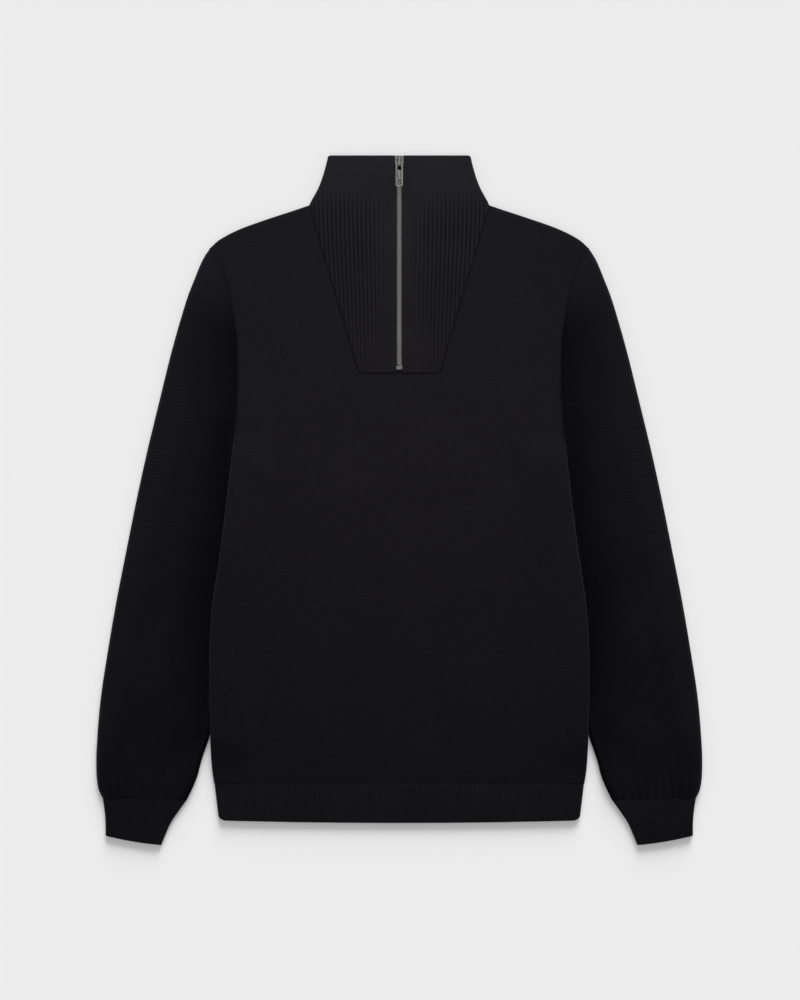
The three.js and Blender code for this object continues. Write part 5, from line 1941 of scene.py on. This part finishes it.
@dataclass
class Studio:
    """Pale floor, soft lights and the camera straight above."""

    view_length: float = 1.125
    centre: tuple[float, float] = (0.0008, 0.0003)
    distance: float = 3.4
    long_side: float = 36.0
    floor_tone: float = 0.9
    floor_reach: float = 6.0
    floor_mottle: float = 0.01
    ambient: float = 0.34
    suns: tuple[Sun, ...] = (
        Sun("sun_from_the_top", 82, 22, 34, 0.413), Sun("sun_overhead", 90, 86, 24, 0.18),
    )
    body_suns: tuple[Sun, ...] = (
        Sun("body_sun_left", 165, 11, 14, 0.14), Sun("body_sun_right", 15, 11, 14, 0.14),
    )
    sleeve_suns: tuple[Sun, ...] = (
        Sun("sun_on_left_sleeve", 12, 7, 8, 0.5), Sun("sun_on_right_sleeve", 168, 7, 8, 0.5),
    )
    pools: tuple[Pool, ...] = (
        Pool("chest_light", (0.0, 0.75, 1.5), (0.0, 0.20), 50, 240.0, (1.0, 0.97, 1.02)),
        Pool("cool_light", (0.0, 0.9, 1.5), (0.0, 0.36), 30, 80.0, (0.1, 0.5, 1.0)),
        Pool("warm_light", (0.0, 0.1, 1.5), (0.0, 0.11), 21, 38.0, (1.0, 0.2, 0.1)),
    )

    def camera(self) -> None:
        """Places the camera and makes it the scene's own."""
        data = bpy.data.cameras.new("camera")
        data.sensor_width = self.long_side
        data.lens = self.long_side * self.distance / self.view_length
        data.clip_end = 20.0
        made = bpy.data.objects.new("camera", data)
        made.location = (*self.centre, self.distance)
        bpy.context.scene.collection.objects.link(made)
        bpy.context.scene.camera = made

    def floor(self) -> bpy.types.Object:
        """The floor that the sweater lies on."""
        graph = Graph("floor")
        mottle = self.floor_mottle
        tone = graph.noise(3.0, 2.0) * mottle + (self.floor_tone - mottle / 2)
        parts = {0: tone, 1: tone, 2: tone}
        graph.feed("Base Color", graph.signal("ShaderNodeCombineColor", None, parts))
        graph.feed("Roughness", 0.9)
        graph.feed("Specular IOR Level", 0.0)
        mesh = bpy.data.meshes.new("floor")
        reach = self.floor_reach
        corners = ((-reach, -reach), (reach, -reach), (reach, reach), (-reach, reach))
        mesh.from_pydata([(x, y, 0.0) for x, y in corners], [], [(0, 1, 2, 3)])
        made = place("floor", mesh, graph.material, RIM_ANGLE)
        return made

    def group(self, name: str, pieces: Sequence[bpy.types.Object]) -> bpy.types.Collection:
        """The pieces that one light falls on."""
        made = bpy.data.collections.new(name)
        for piece in pieces:
            made.objects.link(piece)
        return made

    def build(self, dressed: Sequence[bpy.types.Object]) -> None:
        """Builds the set round the dressed pieces."""
        self.camera()
        self.floor()
        world = bpy.data.worlds.new("studio")
        world.use_nodes = True
        back = next(n for n in world.node_tree.nodes if n.type == "BACKGROUND")
        back.inputs["Color"].default_value = (1.0, 1.0, 1.0, 1.0)
        back.inputs["Strength"].default_value = self.ambient
        bpy.context.scene.world = world
        for sun in self.suns:
            sun.place()
        cloth = [piece for piece in dressed if not piece.name.startswith("zip")]
        sleeves = [piece for piece in cloth if piece.name.endswith("sleeve")]
        body = [piece for piece in cloth if piece not in sleeves]
        for sun in self.body_suns:
            sun.place(self.group("body_light", body))
        for sun, sleeve in zip(self.sleeve_suns, sleeves):
            sun.place(self.group(sun.name, [sleeve]))
        for pool in self.pools:
            pool.place(self.group(pool.name, cloth))
        settings = bpy.context.scene.view_settings
        settings.view_transform = "Standard"
        settings.look = "None"
        settings.exposure = 0.0
        settings.gamma = 1.0


@dataclass(frozen=True)
class Finishes:
    """Every finish of the sweater, made once."""

    body: bpy.types.Material
    sleeve: bpy.types.Material
    rib: bpy.types.Material
    band: bpy.types.Material
    yarn: bpy.types.Material
    tape: bpy.types.Material
    teeth: bpy.types.Material
    metal: bpy.types.Material
    painted_shade_metal: bpy.types.Material

    @classmethod
    def make(cls) -> "Finishes":
        """Builds the materials."""
        finishes = {
            "body": Knit("body_knit_finish", (0.0010, 0.0009, 0.0011), (0.0034, 0.0032, 0.0038)),
            "sleeve": Knit(
                "sleeve_knit_finish", (0.0009, 0.0009, 0.0011), (0.0041, 0.0038, 0.0050),
                sheen=0.009, gloss=0.004, relief=0.00028,
            ),
            "rib": RibKnit("rib_knit_finish", (0.0004, 0.0004, 0.0005), (0.0066, 0.0060, 0.0072)),
            # A darker copy of the rib knit for the hem and cuffs: painted shade lower on the garment,
            # away from the light.
            "band": RibKnit("band_knit_painted_shade_finish", (0.0003, 0.0003, 0.0004), (0.0055, 0.0053, 0.0067)),
            "yarn": Yarn("linking_yarn_finish", (0.0006, 0.0006, 0.0007), (0.0018, 0.0016, 0.0020)),
            "tape": Tape("zip_tape_finish", (0.0016, 0.0015, 0.0019)),
            "teeth": ZipMetal("zip_teeth_finish", (0.26, 0.26, 0.262), (0.46, 0.46, 0.457), 0.45),
            "metal": ZipMetal("zip_metal_finish", (0.105, 0.105, 0.106), (0.205, 0.204, 0.203), 0.42),
            # A near-black copy of the zip metal, for painted shade in the slider's recess and the tab's
            # grooves.
            "painted_shade_metal": ZipMetal("zip_painted_recess_shade_finish", (0.015, 0.015, 0.016), (0.05, 0.05, 0.05)),
        }
        return cls(**{part: finish.material() for part, finish in finishes.items()})


def dress(
    piece: bpy.types.Object, slot: Slot, *nodes: str, body: Body = Body.GARMENT
) -> bpy.types.Object:
    """Attaches a piece to the body it rides on and hides the nodes it stands for."""
    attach(piece, body.value)
    if nodes:
        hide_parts(*nodes)
    log.info("%s: %d faces", piece.name, len(piece.data.polygons))
    return piece


def enclosed(points: np.ndarray) -> float:
    """Area inside a closed outline of points."""
    x, y = points.T
    return abs(float(np.dot(x, np.roll(y, -1)) - np.dot(y, np.roll(x, -1)))) / 2


def summed(values: Sequence[float], places: Sequence[float]) -> float:
    """Area under a line of values."""
    return float(np.sum((np.array(values[1:]) + np.array(values[:-1])) / 2 * np.diff(places)))


def lay(
    width: float, length: float, area: float
) -> None:
    """Turns the flat cut of a laid piece of cloth from millimetres into metres, and keeps nothing."""
    width * MM
    length * MM
    area * MM * MM


@dataclass
class Sweater:
    """The whole garment."""

    cut: Cut = field(default_factory=Cut)
    pieces: list[bpy.types.Object] = field(default_factory=list)

    def keep(self, piece: bpy.types.Object) -> bpy.types.Object:
        """Notes a dressed piece."""
        self.pieces.append(piece)
        return piece

    def build_body(self, finishes: Finishes) -> None:
        """Front and back panels."""
        cut = self.cut
        heights = np.linspace(cut.hem_top, cut.placket_height, 60)
        lower = 2 * summed(cut.body_edge(heights), heights)
        high = np.linspace(cut.placket_height, cut.neck_height, 60)
        shoulder = np.interp(high, cut.shoulder_line.values[::-1], cut.shoulder_line.places[::-1])
        edge = np.where(high < cut.shoulder_height, cut.body_edge(high), shoulder)
        yokes = 2 * summed(edge, high)
        notch = 2 * summed(cut.placket_edge(high), high)
        width = 2 * float(cut.body_edge(heights).max())
        length = cut.neck_height - cut.hem_top
        front = BodyPanel(cut, Side.FRONT, creases=FRONT_CREASES).build("front_panel", finishes.body)
        self.keep(dress(front, Slot.BODY, "front"))
        lay(width, length, lower + yokes - notch)
        back = BodyPanel(cut, Side.BACK, creases=BACK_CREASES).build("back_panel", finishes.body)
        self.keep(dress(back, Slot.BODY, "back"))
        lay(width, length, lower + yokes)

    def build_ribs(self, finishes: Finishes) -> None:
        """Collar with placket, and hem band."""
        cut = self.cut
        collar = Collar(cut)
        piece = collar.build("ribbed_collar", finishes.rib)
        self.keep(dress(piece, Slot.RIB, "collar"))
        low = np.linspace(cut.placket_height, cut.neck_height, 40)
        top = np.linspace(cut.neck_height, COLLAR_TOP, 20)
        placket = 2 * summed(cut.placket_edge(low) - collar.zip_half, low)
        around = summed(4 * cut.collar_edge(top) - 2 * collar.zip_half, top)
        width = 4 * cut.neck_x - 2 * collar.zip_half
        lay(width, COLLAR_TOP - cut.placket_height, placket + around)
        hem = Hem(cut)
        piece = hem.build("ribbed_hem", finishes.band)
        self.keep(dress(piece, Slot.RIB, "hem"))
        width, length = 4 * hem.top_half, cut.hem_top
        lay(width, length, 2 * (hem.top_half + hem.low_half) * (length - hem.bow / 2))

    def build_arms(self, finishes: Finishes) -> None:
        """Sleeves and cuffs, each side from the same cut."""
        arm = Arm(self.cut)
        for side, mirror in (("left", False), ("right", True)):
            for kind, tube, material in (
                ("sleeve", arm.sleeve(), finishes.sleeve), ("cuff", arm.cuff(), finishes.band),
            ):
                name = {"sleeve": f"{side}_sleeve", "cuff": f"{side}_ribbed_cuff"}[kind]
                piece = tube.build(name, material, mirror)
                self.keep(dress(piece, tube.slot, f"{kind}_{side}"))
                spots = np.linspace(0, 1, 60)
                middles = [np.concatenate(tube.plan(np.array([0.5]), float(t))) for t in spots]
                length = sum(float(np.hypot(*(b - a))) for a, b in zip(middles, middles[1:]))
                width = 2 * max(tube.size(float(t)) for t in spots)
                lay(width, length, 2 * enclosed(tube.outline(spots)))

    def build_seams(self, finishes: Finishes) -> None:
        """The linked seams between the pieces."""
        linking = Linking(self.cut)
        piece = linking.build("linked_seams", Arm(self.cut), Hem(self.cut), finishes.yarn)
        self.keep(dress(piece, Slot.RIB))

    def build_zip(self, finishes: Finishes) -> None:
        """The zip's parts."""
        made = Zip(self.cut)
        for side, mirror in (("left", False), ("right", True)):
            tape = made.tape(f"{side}_zip_tape", finishes.tape, mirror)
            self.keep(dress(tape, Slot.TAPE, f"zip_tape_{side}"))
            length = made.tape_high - made.tape_low
            lay(made.tape_width, length, 0.98 * made.tape_width * length)
        metal, painted_shade_metal = finishes.metal, finishes.painted_shade_metal
        self.keep(dress(made.teeth("zip_teeth", finishes.teeth), Slot.METAL, "zip_chain"))
        self.keep(dress(made.stop("zip_bottom_stop", metal), Slot.METAL, "zip_stop"))
        self.keep(dress(made.slider_piece("zip_slider_body", metal), Slot.METAL, "zip_slider"))
        self.keep(dress(made.slider_floor("zip_slider_painted_recess_shade", painted_shade_metal), Slot.METAL))
        tab = made.pull("zip_pull_tab", metal)
        self.keep(dress(tab, Slot.METAL, "zip_pull", body=Body.PULL))
        self.keep(dress(made.pull_floor("zip_pull_painted_groove_shade", painted_shade_metal), Slot.METAL, body=Body.PULL))


def main() -> None:
    """Builds the sweater and its studio."""
    logging.basicConfig(level=logging.INFO, format="%(name)s %(message)s")
    sweater = Sweater()
    finishes = Finishes.make()
    sweater.build_body(finishes)
    sweater.build_ribs(finishes)
    sweater.build_arms(finishes)
    sweater.build_seams(finishes)
    sweater.build_zip(finishes)
    Studio().build(sweater.pieces)


if __name__ == "__main__":
    main()
